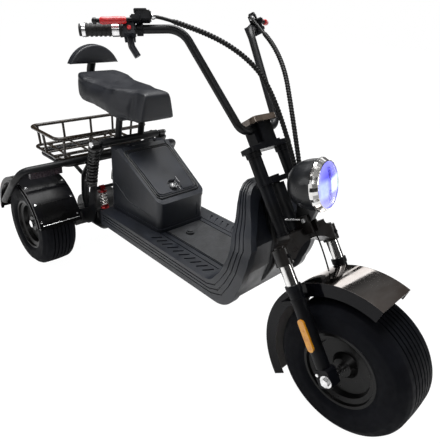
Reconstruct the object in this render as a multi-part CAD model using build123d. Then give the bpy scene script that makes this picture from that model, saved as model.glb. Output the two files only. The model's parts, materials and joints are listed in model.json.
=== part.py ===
from build123d import *
import os
from math import atan2, cos, degrees, pi, radians, sin, sqrt, tan

# Electric trike scooter in millimetres, rear axle at y = 0 until export, front towards -Y, +X the vehicle's left.

# Wheels and stance
WHEELBASE = 1502
FRONT_R = 222.5
FRONT_W = 193
FRONT_BEAD = 124
REAR_R = 197
REAR_W = 161
REAR_BEAD = 116
REAR_WHEEL_X = 306.5
RUN_FIT = 0.05
SEAT_GAP = 0.3
MOVE_GAP = 5

# Steering group, measured in the fork frame: x across, y to the rear, z up along the fork
RAKE = radians(35)
STEER_OFF = 45
LEG_X = 124
LEG_OFF = 12
LEG_R = 22
LEG_TOP = 292
STANCHION_R = 20
CLAMP_R = 27
CLAMP_LOW = 361
CLAMP_TOP = 412
CROWN_TOP = 440
UPPER_X = 70
UPPER_OFF = 28
UPPER_R = 21
UPPER_TOP = 712
STEM_R = 14
HEAD_R = 26
HEAD_TOP = 600
MID_T = 16
AXLE_R = 8
NUT_X = 158
BAR_R = 12.7
GRIP_R = 17
BAR_FOOT = (84, 28, 780)
BAR_BEND = (150, 49, 1128)
BAR_END = (386, 200, 1212)

# Headlight
LAMP_BACK = 193
LAMP_Z = 744.5
LAMP_R = 80
LENS_R = 69
LAMP_TILT = radians(9)

# Deck and shield: edges of the J profile as (distance behind the front axle, z), then half widths by height
DECK_TOP = 350
DECK_HALF = 190
DECK_REAR = -345
DECK_UNDER = 286
SHELL_REAR = [(497, 350), (462, 360), (442, 382), (410, 430), (398, 500), (444, 600), (496, 686)]
SHELL_FRONT = [(434, 283), (374, 305), (342, 366), (318, 440), (318, 520), (390, 610), (464, 694)]
SHELL_PANEL = [(406, 200), (390, 300), (374, 350), (352, 410), (352, 500), (422, 610), (488, 716), (102, 716), (102, 200)]
SHELL_HALF = [(200, 190), (440, 190), (500, 176), (545, 150), (580, 121), (617, 97), (648, 71), (666, 44), (673, 18)]
SHELL_ARCH = 560
RIM_WIDTH = 26
RIM_LINES = (0.24, 0.44, 0.64)

# Battery box
BOX_FRONT = -668
BOX_REAR = -334
BOX_HALF_FRONT = 116
BOX_HALF_REAR = 130
BOX_WALL = 4
LID_LOW = (-646, 474)
LID_HIGH = (-390, 622)
LID_T = 12

# Seat and rear
SEAT_FRONT = -512
SEAT_REAR = -22
BACK_Y = -30
BACK_LOW = 904
BACK_HIGH = 992
BACK_HALF = 126
BACK_T = 50
CROSS_Y = -300
CROSS_Z = 630
CROSS_HALF = 145
LOOP_X = 130
LOOP_R = 18
FENDER_R = REAR_R + 37
FENDER_Z = REAR_R + 2
FENDER_IN = REAR_WHEEL_X - 88.5
FENDER_OUT = REAR_WHEEL_X + 103.5
SHEET = 4
BASKET_HALF = 240
BASKET_FRONT = -92
BASKET_REAR = 172
BASKET_TOP = 607
BASKET_LOW = 512
BUMPER_R = 15

Y_SHIFT = (WHEELBASE + FRONT_R - FENDER_R) / 2
FORK = Plane(origin=(0, -WHEELBASE, FRONT_R), x_dir=(1, 0, 0), z_dir=(0, sin(RAKE), cos(RAKE)))
PARTS = {}


def behind_axle(points):
    # Side points given as (distance behind the front axle, z), as (y, z)
    return [(y - WHEELBASE, z) for y, z in points]


def in_fork(shape):
    return FORK.location * shape


def rod(a, b, radius):
    start, end = Vector(*a), Vector(*b)
    return Solid.make_cylinder(radius, (end - start).length, Plane(origin=start, z_dir=(end - start).normalized()))


def tube(a, b, radius, bore):
    return rod(a, b, radius) - rod(a, b, bore)


def pipe(points, radii, radius):
    if len(points) == 2:
        return rod(points[0], points[1], radius)
    path = FilletPolyline(*points, radius=radii)
    return sweep(Plane(origin=path @ 0, z_dir=path % 0) * Circle(radius), path=path)


def box(x, y, z):
    return Pos((x[0] + x[1]) / 2, (y[0] + y[1]) / 2, (z[0] + z[1]) / 2) * Box(x[1] - x[0], y[1] - y[0], z[1] - z[0])


def across(points, half):
    # A side profile given as (y, z) points, extruded to both sides of the centre plane
    face = make_face(Polyline(*[(0, y, z) for y, z in points], close=True))
    return extrude(face, amount=half, dir=(1, 0, 0), both=True)


def turned(points, x=0, y=0, z=0):
    # A ring section given as (x, radius) points, turned about the X axis through (y, z)
    face = make_face(Polyline(*[(px, pr, 0) for px, pr in points], close=True))
    return Pos(x, y, z) * revolve(face, axis=Axis.X)


def both(maker):
    right = maker(-1)
    left = maker(1)
    return Compound(children=[*right.solids(), *left.solids()])


def put(name, *shapes):
    solids = [s for shape in shapes for s in shape.solids()]
    PARTS[name] = Compound(children=solids) if len(solids) > 1 else solids[0]


# Wheels
def tyre(radius, width, bead, x, y, z):
    h = width / 2
    shoulder = radius - 16
    side = Polyline((-h * 0.80, bead, 0), (-h * 0.86, bead, 0))
    wall = ThreePointArc((-h * 0.86, bead, 0), (-h, (bead + shoulder) / 2 + 8, 0), (-h * 0.86, shoulder, 0))
    turn = ThreePointArc((-h * 0.86, shoulder, 0), (-h * 0.76, radius - 6, 0), (-h * 0.58, radius - 2, 0))
    crown = ThreePointArc((-h * 0.58, radius - 2, 0), (0, radius, 0), (h * 0.58, radius - 2, 0))
    turn2 = ThreePointArc((h * 0.58, radius - 2, 0), (h * 0.76, radius - 6, 0), (h * 0.86, shoulder, 0))
    wall2 = ThreePointArc((h * 0.86, shoulder, 0), (h, (bead + shoulder) / 2 + 8, 0), (h * 0.86, bead, 0))
    close = Polyline((h * 0.86, bead, 0), (-h * 0.86, bead, 0))
    face = make_face([wall, turn, crown, turn2, wall2, close])
    return Pos(x, y, z) * revolve(face, axis=Axis.X)


def rim(bead, width, hub, bore, x, y, z):
    h = width / 2 * 0.86
    section = [
        (-h, bead), (-h, bead - 9), (-h + 10, bead - 12), (-h + 16, bead - 26), (-h + 34, bead - 32),
        (-h + 40, hub + 14), (-h + 22, hub), (-h + 22, bore), (h - 22, bore), (h - 22, hub),
        (h - 40, hub + 14), (h - 34, bead - 32), (h - 16, bead - 26), (h - 10, bead - 12), (h, bead - 9), (h, bead),
    ]
    return turned(section, x, y, z)


DISC_T = 4


def disc(inner_x, hub_x, way, radius, hub, bore, y, z):
    # A brake disc with a carrier that reaches back to the hub face; way is the side that it stands on
    near, far = (inner_x, hub_x) if inner_x < hub_x else (hub_x, inner_x)
    side = -way if inner_x < hub_x else way
    plate_x = inner_x if inner_x < hub_x else inner_x - DISC_T
    body = rod((side * near, y, z), (side * far, y, z), hub)
    ring = rod((side * plate_x, y, z), (side * (plate_x + DISC_T), y, z), radius)
    for k in range(5):
        a = 2 * pi * k / 5
        at = (y + cos(a) * (radius + hub) / 2, z + sin(a) * (radius + hub) / 2)
        ring -= rod((side * (plate_x - 1), *at), (side * (plate_x + DISC_T + 1), *at), (radius - hub) / 2 - 10)
    body += ring
    body -= rod((side * (near - 2), y, z), (side * (far + 2), y, z), bore)
    return body


FRONT_AXLE = (0, -WHEELBASE, FRONT_R)
FRONT_HUB_X = FRONT_W / 2 * 0.86 - 22
FRONT_DISC_X = 88
REAR_DISC_IN = 207
put("front_tyre", tyre(FRONT_R, FRONT_W, FRONT_BEAD, *FRONT_AXLE))
put("front_rim", rim(FRONT_BEAD, FRONT_W, 30, AXLE_R + RUN_FIT, *FRONT_AXLE))
put("front_disc", disc(FRONT_DISC_X, FRONT_HUB_X, 1, 90, 32, AXLE_R + RUN_FIT, -WHEELBASE, FRONT_R))
REAR_SHAFT_R = 12
for side, name in ((-1, "right"), (1, "left")):
    place = (side * REAR_WHEEL_X, 0, REAR_R)
    put("rear_tyre_" + name, tyre(REAR_R, REAR_W, REAR_BEAD, *place))
    put("rear_rim_" + name, rim(REAR_BEAD, REAR_W, 34, REAR_SHAFT_R + RUN_FIT, *place))
    hub_face = REAR_WHEEL_X - REAR_W / 2 * 0.86 + 22
    put("rear_disc_" + name, disc(REAR_DISC_IN, hub_face, -side, 104, 36, REAR_SHAFT_R + RUN_FIT, 0, REAR_R))

# Fork, stanchions and crown
LEG_IN = LEG_X - LEG_R
LUG_IN = LEG_IN + 2
LUG_OUT = LEG_X + LEG_R


def sided(side, a, b):
    return tuple(sorted((side * a, side * b)))


def leg(side):
    x = side * LEG_X
    body = rod((x, LEG_OFF, -8), (x, LEG_OFF, LEG_TOP), LEG_R)
    lug = box(sided(side, LUG_IN, LUG_OUT), (-16, LEG_OFF + LEG_R), (-24, 34))
    body += fillet(lug.edges().filter_by(Axis.X), 9)
    body += rod((x, LEG_OFF, LEG_TOP - 12), (x, LEG_OFF, LEG_TOP + 6), LEG_R + 3)
    body += rod((x, LEG_OFF, LEG_TOP - 44), (x, LEG_OFF, LEG_TOP - 36), LEG_R + 1.5)
    body -= rod((x, LEG_OFF, 140), (x, LEG_OFF, LEG_TOP + 20), STANCHION_R + RUN_FIT)
    body -= rod((side * (LUG_IN - 5), 0, 0), (side * (LUG_OUT + 20), 0, 0), AXLE_R + RUN_FIT)
    return in_fork(body)


put("fork_legs", both(leg))
STANCHION_TOP = CLAMP_TOP - 4


def stanchion(side):
    x = side * LEG_X
    body = rod((x, LEG_OFF, 145), (x, LEG_OFF, STANCHION_TOP), STANCHION_R)
    return in_fork(body)


put("stanchions", both(stanchion))
ARCH_OUT = LEG_X + 4
ARCH_IN = LEG_X - CLAMP_R
ARCH_FOOT = CLAMP_LOW + 8
ARCH_HALF = 25
arch_line = [
    Polyline((-ARCH_OUT, 0, ARCH_FOOT), (-ARCH_OUT, 0, CLAMP_TOP - 6), (-ARCH_OUT + 22, 0, CLAMP_TOP + 8)),
    ThreePointArc((-ARCH_OUT + 22, 0, CLAMP_TOP + 8), (-ARCH_OUT + 36, 0, CLAMP_TOP + 20), (-UPPER_X - 22, 0, CROWN_TOP)),
    Polyline((-UPPER_X - 22, 0, CROWN_TOP), (UPPER_X + 22, 0, CROWN_TOP)),
    ThreePointArc((UPPER_X + 22, 0, CROWN_TOP), (ARCH_OUT - 36, 0, CLAMP_TOP + 20), (ARCH_OUT - 22, 0, CLAMP_TOP + 8)),
    Polyline((ARCH_OUT - 22, 0, CLAMP_TOP + 8), (ARCH_OUT, 0, CLAMP_TOP - 6), (ARCH_OUT, 0, ARCH_FOOT), (ARCH_IN, 0, ARCH_FOOT)),
    ThreePointArc((ARCH_IN, 0, ARCH_FOOT), (0, 0, ARCH_FOOT + 32), (-ARCH_IN, 0, ARCH_FOOT)),
    Polyline((-ARCH_IN, 0, ARCH_FOOT), (-ARCH_OUT, 0, ARCH_FOOT)),
]
crown = Pos(0, LEG_OFF, 0) * extrude(make_face(arch_line), amount=ARCH_HALF, dir=(0, 1, 0), both=True)
crown += box((-34, 34), (10, STEER_OFF + 26), (CROWN_TOP - 30, CROWN_TOP))
for s in (-1, 1):
    crown += rod((s * LEG_X, LEG_OFF, CLAMP_LOW), (s * LEG_X, LEG_OFF, CLAMP_TOP), CLAMP_R)
    crown += rod((s * LEG_X, LEG_OFF, CLAMP_TOP - 2), (s * LEG_X, LEG_OFF, CLAMP_TOP + 6), CLAMP_R - 9)
    crown += box((s * 14.5 - 3.5, s * 14.5 + 3.5), (-42, LEG_OFF), (CROWN_TOP - 22, CROWN_TOP + 36))
for s in (-1, 1):
    crown -= rod((s * LEG_X, LEG_OFF, CLAMP_LOW - 5), (s * LEG_X, LEG_OFF, STANCHION_TOP), STANCHION_R + RUN_FIT)
crown += rod((0, STEER_OFF, CROWN_TOP - 2), (0, STEER_OFF, HEAD_TOP + 4), STEM_R)
put("lower_crown", in_fork(crown))

MID_LOW = HEAD_TOP + 4
MID_TOP = MID_LOW + MID_T
PLATE_T = 16


def upper(side):
    x = side * UPPER_X
    body = rod((x, UPPER_OFF, CROWN_TOP), (x, UPPER_OFF, UPPER_TOP), UPPER_R)
    body += rod((x, UPPER_OFF, CROWN_TOP), (x, UPPER_OFF, CROWN_TOP + 7), UPPER_R + 3)
    body += rod((x, UPPER_OFF, CROWN_TOP + 52), (x, UPPER_OFF, CROWN_TOP + 60), UPPER_R + 2)
    body += rod((x, UPPER_OFF, UPPER_TOP - 16), (x, UPPER_OFF, UPPER_TOP), UPPER_R + 4)
    return in_fork(body)


put("upper_tubes", both(upper))
middle = box((-UPPER_X, UPPER_X), (10, STEER_OFF + 20), (MID_LOW, MID_TOP))
for s in (-1, 1):
    middle += rod((s * UPPER_X, UPPER_OFF, MID_LOW), (s * UPPER_X, UPPER_OFF, MID_TOP), UPPER_R + 4)
for s in (-1, 1):
    middle -= rod((s * UPPER_X, UPPER_OFF, MID_LOW - 5), (s * UPPER_X, UPPER_OFF, MID_TOP + 5), UPPER_R + RUN_FIT)
middle += rod((0, STEER_OFF, MID_TOP - 1), (0, STEER_OFF, MID_TOP + 8), STEM_R + 5)
plate = box((-98, 98), (-2, STEER_OFF + 14), (UPPER_TOP, UPPER_TOP + PLATE_T))
plate = fillet(plate.edges().filter_by(Axis.Z), 18)
plate += box((-46, 46), (4, 54), (UPPER_TOP + PLATE_T - 2, BAR_FOOT[2] + 16))
plate -= rod((-98, *BAR_FOOT[1:]), (98, *BAR_FOOT[1:]), BAR_R + RUN_FIT)
for s in (-1, 1):
    plate -= box((s * 46 - 18, s * 46 + 18), (0, BAR_FOOT[1] - 12), (UPPER_TOP + PLATE_T + 6, BAR_FOOT[2] + 16))
put("fork_clamps", in_fork(middle), in_fork(plate))
SCREEN_LOW = BAR_FOOT[2] + 16
screen = fillet(box((-52, 52), (-12, 60), (SCREEN_LOW, SCREEN_LOW + 18)).edges().filter_by(Axis.Z), 10)
put("display", in_fork(screen))

# Front axle with spacers and hexagon nuts, brake caliper, reflectors
axle = rod((-NUT_X, 0, 0), (NUT_X, 0, 0), AXLE_R)
for s, from_x in ((-1, FRONT_HUB_X + 1), (1, FRONT_DISC_X + 1)):
    axle += rod((s * from_x, 0, 0), (s * LEG_IN, 0, 0), 13)
for s in (-1, 1):
    axle += extrude(Plane(origin=(s * LUG_OUT, 0, 0), z_dir=(s, 0, 0)) * RegularPolygon(13, 6), amount=9)
put("front_axle", in_fork(axle))
CALIPER_IN = 75
caliper = box((CALIPER_IN, 112), (28, 92), (24, 76)) & rod((60, 0, 0), (130, 0, 0), 106)
caliper -= box((FRONT_DISC_X - DISC_T - MOVE_GAP, FRONT_DISC_X + MOVE_GAP), (-100, 100), (-100, 100)) & rod(
    (60, 0, 0), (130, 0, 0), 90 + MOVE_GAP)
caliper += box((60, CALIPER_IN + 1), (30, 70), (28, 60)) & rod((50, 0, 0), (130, 0, 0), 86)
caliper -= rod((LEG_X, LEG_OFF, -20), (LEG_X, LEG_OFF, 120), LEG_R)
caliper -= box((LUG_IN, LUG_OUT), (-16, LEG_OFF + LEG_R), (-24, 34))
put("front_caliper", in_fork(max(caliper.solids(), key=lambda q: q.volume)))


def reflector(side):
    x = side * (LEG_X + LEG_R)
    body = box(sided(side, LEG_X + LEG_R - 6, LEG_X + LEG_R + 4), (LEG_OFF - 11, LEG_OFF + 11), (104, 186))
    for d in (104, 186):
        body += rod((side * (LEG_X + LEG_R - 6), LEG_OFF, d), (side * (LEG_X + LEG_R + 4), LEG_OFF, d), 11)
    body -= rod((side * LEG_X, LEG_OFF, 60), (side * LEG_X, LEG_OFF, 230), LEG_R)
    return in_fork(body)


put("fork_reflectors", both(reflector))

# Front fender: an arched band with flat side skirts, turned with the fork
GUARD_R = 283
GUARD_HALF = 82
GUARD_SKIRT = 42
GUARD_REAR = radians(-39)
GUARD_FRONT = radians(107)
guard_section = [
    (-GUARD_HALF, GUARD_R - GUARD_SKIRT), (-GUARD_HALF, GUARD_R), (GUARD_HALF, GUARD_R), (GUARD_HALF, GUARD_R - GUARD_SKIRT),
    (GUARD_HALF - 3, GUARD_R - GUARD_SKIRT), (GUARD_HALF - 3, GUARD_R - 3),
    (-GUARD_HALF + 3, GUARD_R - 3), (-GUARD_HALF + 3, GUARD_R - GUARD_SKIRT),
]
guard_face = make_face(Polyline(*[(x, 0, r) for x, r in guard_section], close=True))
guard = revolve(guard_face, axis=Axis.X, revolution_arc=degrees(GUARD_FRONT - GUARD_REAR))
guard = Pos(*FRONT_AXLE) * (Rot(-90 + degrees(GUARD_REAR), 0, 0) * guard)
put("front_fender", guard)


def guard_arm(side):
    body = box(sided(side, GUARD_HALF, LEG_X - 8), (26, 96), (232, 246))
    body -= rod((side * LEG_X, LEG_OFF, 200), (side * LEG_X, LEG_OFF, 280), LEG_R)
    return in_fork(body)


put("fender_arms", both(guard_arm))


# Handlebar with grips, levers and switch pods
def mirror_x(p, side):
    return (side * p[0], p[1], p[2])


bar_line = [mirror_x(q, -1) for q in (BAR_END, BAR_BEND, BAR_FOOT)] + [BAR_FOOT, BAR_BEND, BAR_END]
put("handlebar", in_fork(pipe(bar_line, [70, 38, 38, 70], BAR_R)))
BAR_DIR = (Vector(*BAR_BEND) - Vector(*BAR_END)).normalized()


def along_bar(distance, side):
    # A plane square to the bar, the given distance in from its end; local x points forward, z along the bar
    p = Vector(*BAR_END) + BAR_DIR * distance
    d = Vector(side * BAR_DIR.X, BAR_DIR.Y, BAR_DIR.Z)
    return Plane(origin=(side * p.X, p.Y, p.Z), x_dir=Vector(0, 0, side).cross(d), z_dir=d)


def collar(side, start, end, radius):
    body = Solid.make_cylinder(radius, end - start, along_bar(start, side))
    return body - Solid.make_cylinder(BAR_R + RUN_FIT, end - start, along_bar(start, side))


GRIP_L = 118
GRIP_RIBS = 7


def grip(side):
    body = collar(side, -4, GRIP_L, GRIP_R)
    body += Solid.make_cylinder(GRIP_R, 4, along_bar(-4, side))
    for k in range(GRIP_RIBS):
        at = 14 + k * 13
        body += collar(side, at, at + 6, GRIP_R + 2)
    body += collar(side, GRIP_L - 6, GRIP_L, GRIP_R + 5)
    return in_fork(body)


def in_plane(plane, shape):
    return plane.location * shape


def pod(side):
    body = collar(side, GRIP_L + 1, GRIP_L + 40, 21)
    block = in_plane(along_bar(GRIP_L + 1, side), box((-30, 34), sided(side, -26, 16), (4, 36)))
    body += block - Solid.make_cylinder(20, 60, along_bar(GRIP_L - 9, side))
    if side < 0:
        paddle = [(0, side * -18, 20), (2, side * -52, 24), (-4, side * -80, 40)]
        body += in_plane(along_bar(GRIP_L + 1, side), pipe(paddle, [14], 10))
    return in_fork(body)


MASTER = (15, 31, 35)


def lever(side):
    body = collar(side, GRIP_L + 42, GRIP_L + 62, 19)
    plane = along_bar(GRIP_L + 52, side)
    body += in_plane(plane, box((0, 30), sided(side, 15, 46), (-12, MASTER[2] - 0.3)))
    blade = [(16, side * 32, -6), (30, side * 48, -36), (28, side * 46, -150)]
    body += in_plane(plane, pipe(blade, [18], 6.5))
    return in_fork(body)


put("grips", both(grip))
put("switch_pods", both(pod))
put("brake_levers", both(lever))

# Headlight: bowl, ring, lens and its bracket
LAMP = Plane(origin=(0, LAMP_BACK - WHEELBASE, LAMP_Z), x_dir=(1, 0, 0), z_dir=(0, -cos(LAMP_TILT), -sin(LAMP_TILT)))


def lamp_ring(points):
    face = make_face(Polyline(*[(r, 0, z) for r, z in points], close=True))
    return LAMP.location * revolve(face, axis=Axis.Z)


LAMP_OUTER = [(0, -106), (30, -103), (52, -92), (66, -72), (74, -44), (LAMP_R - 3, -12)]
LAMP_INNER = [(LAMP_R - 7, -12), (70, -44), (62, -70), (49, -88), (28, -98), (0, -101)]
put("headlight_shell", lamp_ring(LAMP_OUTER + LAMP_INNER))
lamp_solid = lamp_ring(LAMP_OUTER + [(LAMP_R + 1.3, -12), (LAMP_R + 1.3, 10), (0, 10)])
arm = across(behind_axle([(224, 622), (246, 596), (280, 610), (288, 700), (200, 700)]), 10.7) - lamp_solid
put("headlight_bracket", max(arm.solids(), key=lambda q: q.volume))
LAMP_BOLT = (-26, CROWN_TOP + 22)
bolts = []
for s in (-1, 1):
    bolts.append(in_fork(rod((s * 18, *LAMP_BOLT), (s * 25, *LAMP_BOLT), 7)))
    bolts.append(in_fork(rod((s * (UPPER_X - 8), 18, 488), (s * 22, -14, 470), 3)))
    bolts.append(in_fork(rod((s * (LUG_OUT), LEG_OFF + 12, 20), (s * (LUG_OUT + 4), LEG_OFF + 12, 20), 5)))
upper_pair = both(upper)
put("fork_bolts", *[b - upper_pair for b in bolts])
put("headlight_ring", lamp_ring([
    (LAMP_R - 3, -12), (LAMP_R + 1, -9), (LAMP_R + 1, 4), (LAMP_R - 4, 8), (LENS_R, 2), (LENS_R, -12),
]))
put("headlight_lens", lamp_ring([
    (0, 5), (28, 4), (50, 0), (LENS_R - 1, -6), (LENS_R - 1, -11), (50, -8), (28, -5), (0, -4),
]))

# Chassis: head tube, backbone, rails, rear loops and cross tube
head = in_fork(tube((0, STEER_OFF, CROWN_TOP + 5), (0, STEER_OFF, HEAD_TOP), HEAD_R, STEM_R + RUN_FIT))
SPINE_R = 19
SPINE_SIDE = behind_axle([(366, 650), (412, 636), (360, 500), (360, 400), (406, 306)]) + [(-400, 300)]
SPINE_LINE = [(0, y, z) for y, z in SPINE_SIDE]
SPINE_BENDS = [20, 60, 90, 60]
spine = pipe(SPINE_LINE, SPINE_BENDS, SPINE_R)
spine -= in_fork(rod((0, STEER_OFF, CROWN_TOP - 60), (0, STEER_OFF, UPPER_TOP + 60), HEAD_R - 4))
frame = head + spine
LOOP_LINE = [(-700, 300), (-380, 296), (-262, 224), (-140, 216), (-104, 318), (-118, 430), (-290, 630)]
LOOP_BENDS = [60, 60, 45, 60, 60]
PIVOT = (-202, 262)
SMALL_FOOT = (-249, 292)
SMALL_X = LOOP_X - 9 - 11 - SEAT_GAP
for s in (-1, 1):
    frame += pipe([(s * LOOP_X, y, z) for y, z in LOOP_LINE], LOOP_BENDS, LOOP_R)
    frame += box((s * LOOP_X - 9, s * LOOP_X + 9), (PIVOT[0] - 15, PIVOT[0] + 15), (220, PIVOT[1] + 14))
    frame += box((s * LOOP_X - 9, s * LOOP_X + 9), (SMALL_FOOT[0] - 13, SMALL_FOOT[0] + 13), (226, SMALL_FOOT[1] + 6))
for y in (-690, -420):
    frame += rod((-LOOP_X, y, 300), (LOOP_X, y, 300), LOOP_R)
CROSS_R = 16
SHOCK_X = 172
frame += rod((-CROSS_HALF, CROSS_Y, CROSS_Z), (CROSS_HALF, CROSS_Y, CROSS_Z), CROSS_R)
frame += rod((-SHOCK_X - 14, CROSS_Y, CROSS_Z), (SHOCK_X + 14, CROSS_Y, CROSS_Z), 8)
frame += rod((-LOOP_X, *SMALL_FOOT), (LOOP_X, *SMALL_FOOT), 8)
frame -= rod((-200, *PIVOT), (200, *PIVOT), 10)
put("main_frame", frame)

# Deck and shield shell: a J profile with recessed front panel, rim grooves and tread slots
def j_face(front, rear):
    under = Polyline((0, DECK_REAR, DECK_UNDER), (0, *front[0]))
    f = [(0, *q) for q in front]
    r = [(0, *q) for q in rear]
    lines = [
        under, ThreePointArc(f[0], f[1], f[2]), ThreePointArc(f[2], f[3], f[4]), ThreePointArc(f[4], f[5], f[6]),
        Polyline(f[6], r[6]), ThreePointArc(r[6], r[5], r[4]), ThreePointArc(r[4], r[3], r[2]),
        ThreePointArc(r[2], r[1], r[0]), Polyline(r[0], (0, DECK_REAR, DECK_TOP), (0, DECK_REAR, DECK_UNDER)),
    ]
    return make_face(lines)


def front_outline(inset):
    rise = SHELL_HALF[-1][0] - SHELL_ARCH
    half = [(max(w - inset, 5), z - inset * max(z - SHELL_ARCH, 0) / rise) for z, w in SHELL_HALF]
    points = [(w, 0, z) for w, z in half] + [(-w, 0, z) for w, z in reversed(half)]
    return Pos(0, -1800, 0) * extrude(make_face(Polyline(*points, close=True)), amount=1600, dir=(0, 1, 0))


shell_front = behind_axle(SHELL_FRONT)
shell_rear = behind_axle(SHELL_REAR)
shell = extrude(j_face(shell_front, shell_rear), amount=DECK_HALF, dir=(1, 0, 0), both=True) & front_outline(0)
panel = across(behind_axle(SHELL_PANEL), DECK_HALF)
shell -= panel & front_outline(RIM_WIDTH)
outside = extrude(j_face(shell_front, shell_rear), amount=DECK_HALF + 5, dir=(1, 0, 0), both=True) - front_outline(3.5)
for part in RIM_LINES:
    mid = [(0, r[0] * (1 - part) + f[0] * part, r[1] * (1 - part) + f[1] * part) for r, f in zip(shell_rear, shell_front)]
    low = DECK_TOP * (1 - part) + DECK_UNDER * part
    points = [(-360, low)] + [(q[1], q[2]) for q in mid]
    strips = []
    for (y0, z0), (y1, z1) in zip(points, points[1:]):
        length = sqrt((y1 - y0) ** 2 + (z1 - z0) ** 2)
        ny, nz = -(z1 - z0) / length * 1.8, (y1 - y0) / length * 1.8
        strips.append(across([(y0 + ny, z0 + nz), (y1 + ny, z1 + nz), (y1 - ny, z1 - nz), (y0 - ny, z0 - nz)], DECK_HALF + 4))
    groove = strips[0]
    for strip in strips[1:]:
        groove += strip
    shell -= groove & outside
shell -= box((-168, 168), (456 - WHEELBASE, DECK_REAR + 10), (200, 326))
shell -= pipe(SPINE_LINE, SPINE_BENDS, SPINE_R + SEAT_GAP)
PLATE_HALF = 84
for s in (-1, 1):
    for x in (PLATE_HALF + 6, PLATE_HALF + 30):
        shell -= box((s * x - 2.5, s * x + 2.5), (500 - WHEELBASE, DECK_REAR - 1), (DECK_TOP - 3, DECK_TOP + 5))
    for k in range(10):
        slot = Rot(0, 0, s * 32) * Box(42, 8, 8)
        shell -= Pos(s * 146, 518 - WHEELBASE + k * 33, DECK_TOP) * slot
put("deck_shell", max(shell.solids(), key=lambda q: q.volume))
deck_mat = box((-PLATE_HALF, PLATE_HALF), (506 - WHEELBASE, BOX_FRONT - 10), (DECK_TOP, DECK_TOP + 3))
port = (-22, BOX_FRONT - 74)
deck_mat += Pos(port[0], port[1], DECK_TOP + 6) * Cylinder(17, 12)
deck_mat += Pos(port[0], port[1], DECK_TOP + 13) * Cylinder(12, 8)
put("deck_plate", deck_mat)

# Battery box, hollow, with its sloping lid
def tapered(y0, y1, z0, z1, inset):
    a = BOX_HALF_FRONT - inset
    b = BOX_HALF_REAR - inset
    outline = Polyline((-a, y0, z0), (a, y0, z0), (b, y1, z0), (-b, y1, z0), close=True)
    body = extrude(make_face(outline), amount=z1 - z0, dir=(0, 0, 1))
    return fillet(body.edges().filter_by(Axis.Z), 26 - inset)


slope = atan2(LID_HIGH[1] - LID_LOW[1], LID_HIGH[0] - LID_LOW[0])
n = (-sin(slope), cos(slope))
hull = tapered(BOX_FRONT, BOX_REAR, DECK_TOP, 700, 0)
hull += tapered(BOX_FRONT - 5, BOX_REAR, DECK_TOP, DECK_TOP + 14, -5)
hollow = tapered(BOX_FRONT + BOX_WALL, BOX_REAR - BOX_WALL, DECK_TOP + BOX_WALL, 720, BOX_WALL)
cut_low = (BOX_FRONT - 60, LID_LOW[1] - (LID_LOW[0] - BOX_FRONT + 60) * tan(slope))
cut = across([cut_low, LID_HIGH, (BOX_REAR + 60, LID_HIGH[1]), (BOX_REAR + 60, 800), (cut_low[0], 800)], 200)
roof = across([(LID_HIGH[0], LID_HIGH[1]), (BOX_REAR + 9, LID_HIGH[1]), (BOX_REAR + 9, LID_HIGH[1] - BOX_WALL),
               (LID_HIGH[0] - 6, LID_HIGH[1] - BOX_WALL)], 200)
case = (hull - hollow) - cut
case += (tapered(BOX_FRONT, BOX_REAR, DECK_TOP, 700, 0) & roof) - cut
case -= box((-78, 78), (BOX_FRONT - 10, BOX_FRONT + 1.6), (DECK_TOP + 24, DECK_TOP + 86))
HINGE = (LID_HIGH[0] + 4, LID_HIGH[1] + 10)
PIN_R = 3
case += rod((-72, *HINGE), (72, *HINGE), PIN_R)
for s in (-1, 1):
    case += box(sided(s, 62, 72), (HINGE[0] - 5, HINGE[0] + 5), (LID_HIGH[1] - 2, HINGE[1] + 5))
put("battery_box", case)


def lid_band(low_t, high_t, inset):
    # A slab between two heights above the slope, its rim inset from the outline of the box
    far = (cut_low[0] + n[0] * low_t, cut_low[1] + n[1] * low_t)
    top = (LID_HIGH[0] - 3 + n[0] * low_t, LID_HIGH[1] - 3 * tan(slope) + n[1] * low_t)
    up = (n[0] * (high_t - low_t), n[1] * (high_t - low_t))
    slab = across([far, top, (top[0] + up[0], top[1] + up[1]), (far[0] + up[0], far[1] + up[1])], 200)
    return slab & tapered(BOX_FRONT + inset, BOX_REAR, DECK_TOP, 760, inset)


lid = lid_band(SEAT_GAP, LID_T, -3)
lid -= lid_band(LID_T - 3, LID_T + 3, 16) - lid_band(LID_T - 6, LID_T + 6, 22)
barrel = rod((-56, *HINGE), (56, *HINGE), 7)
link = across([
    (HINGE[0] - 18, HINGE[1] - 12), (HINGE[0], HINGE[1] - 6), (HINGE[0], HINGE[1] + 6), (HINGE[0] - 13, HINGE[1]),
], 56)
lid += link
lid += barrel
lid -= rod((-80, *HINGE), (80, *HINGE), PIN_R + RUN_FIT)
LID_PLANE = Plane(origin=(0, LID_LOW[0] + n[0] * LID_T, LID_LOW[1] + n[1] * LID_T), x_dir=(1, 0, 0), z_dir=(0, n[0], n[1]))
LOCK_D = 50
lid -= in_plane(LID_PLANE, rod((0, LOCK_D, -6), (0, LOCK_D, 10), 25))
put("box_lid", lid)
lock = rod((0, LOCK_D, -6), (0, LOCK_D, 3), 12) + rod((0, LOCK_D, 3), (0, LOCK_D, 6), 8)
lock += box((-2, 2), (LOCK_D - 9, LOCK_D + 9), (6, 22)) + box((-1.5, 1.5), (LOCK_D - 14, LOCK_D + 14), (20, 40))
put("lid_lock", in_plane(LID_PLANE, lock))

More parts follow.
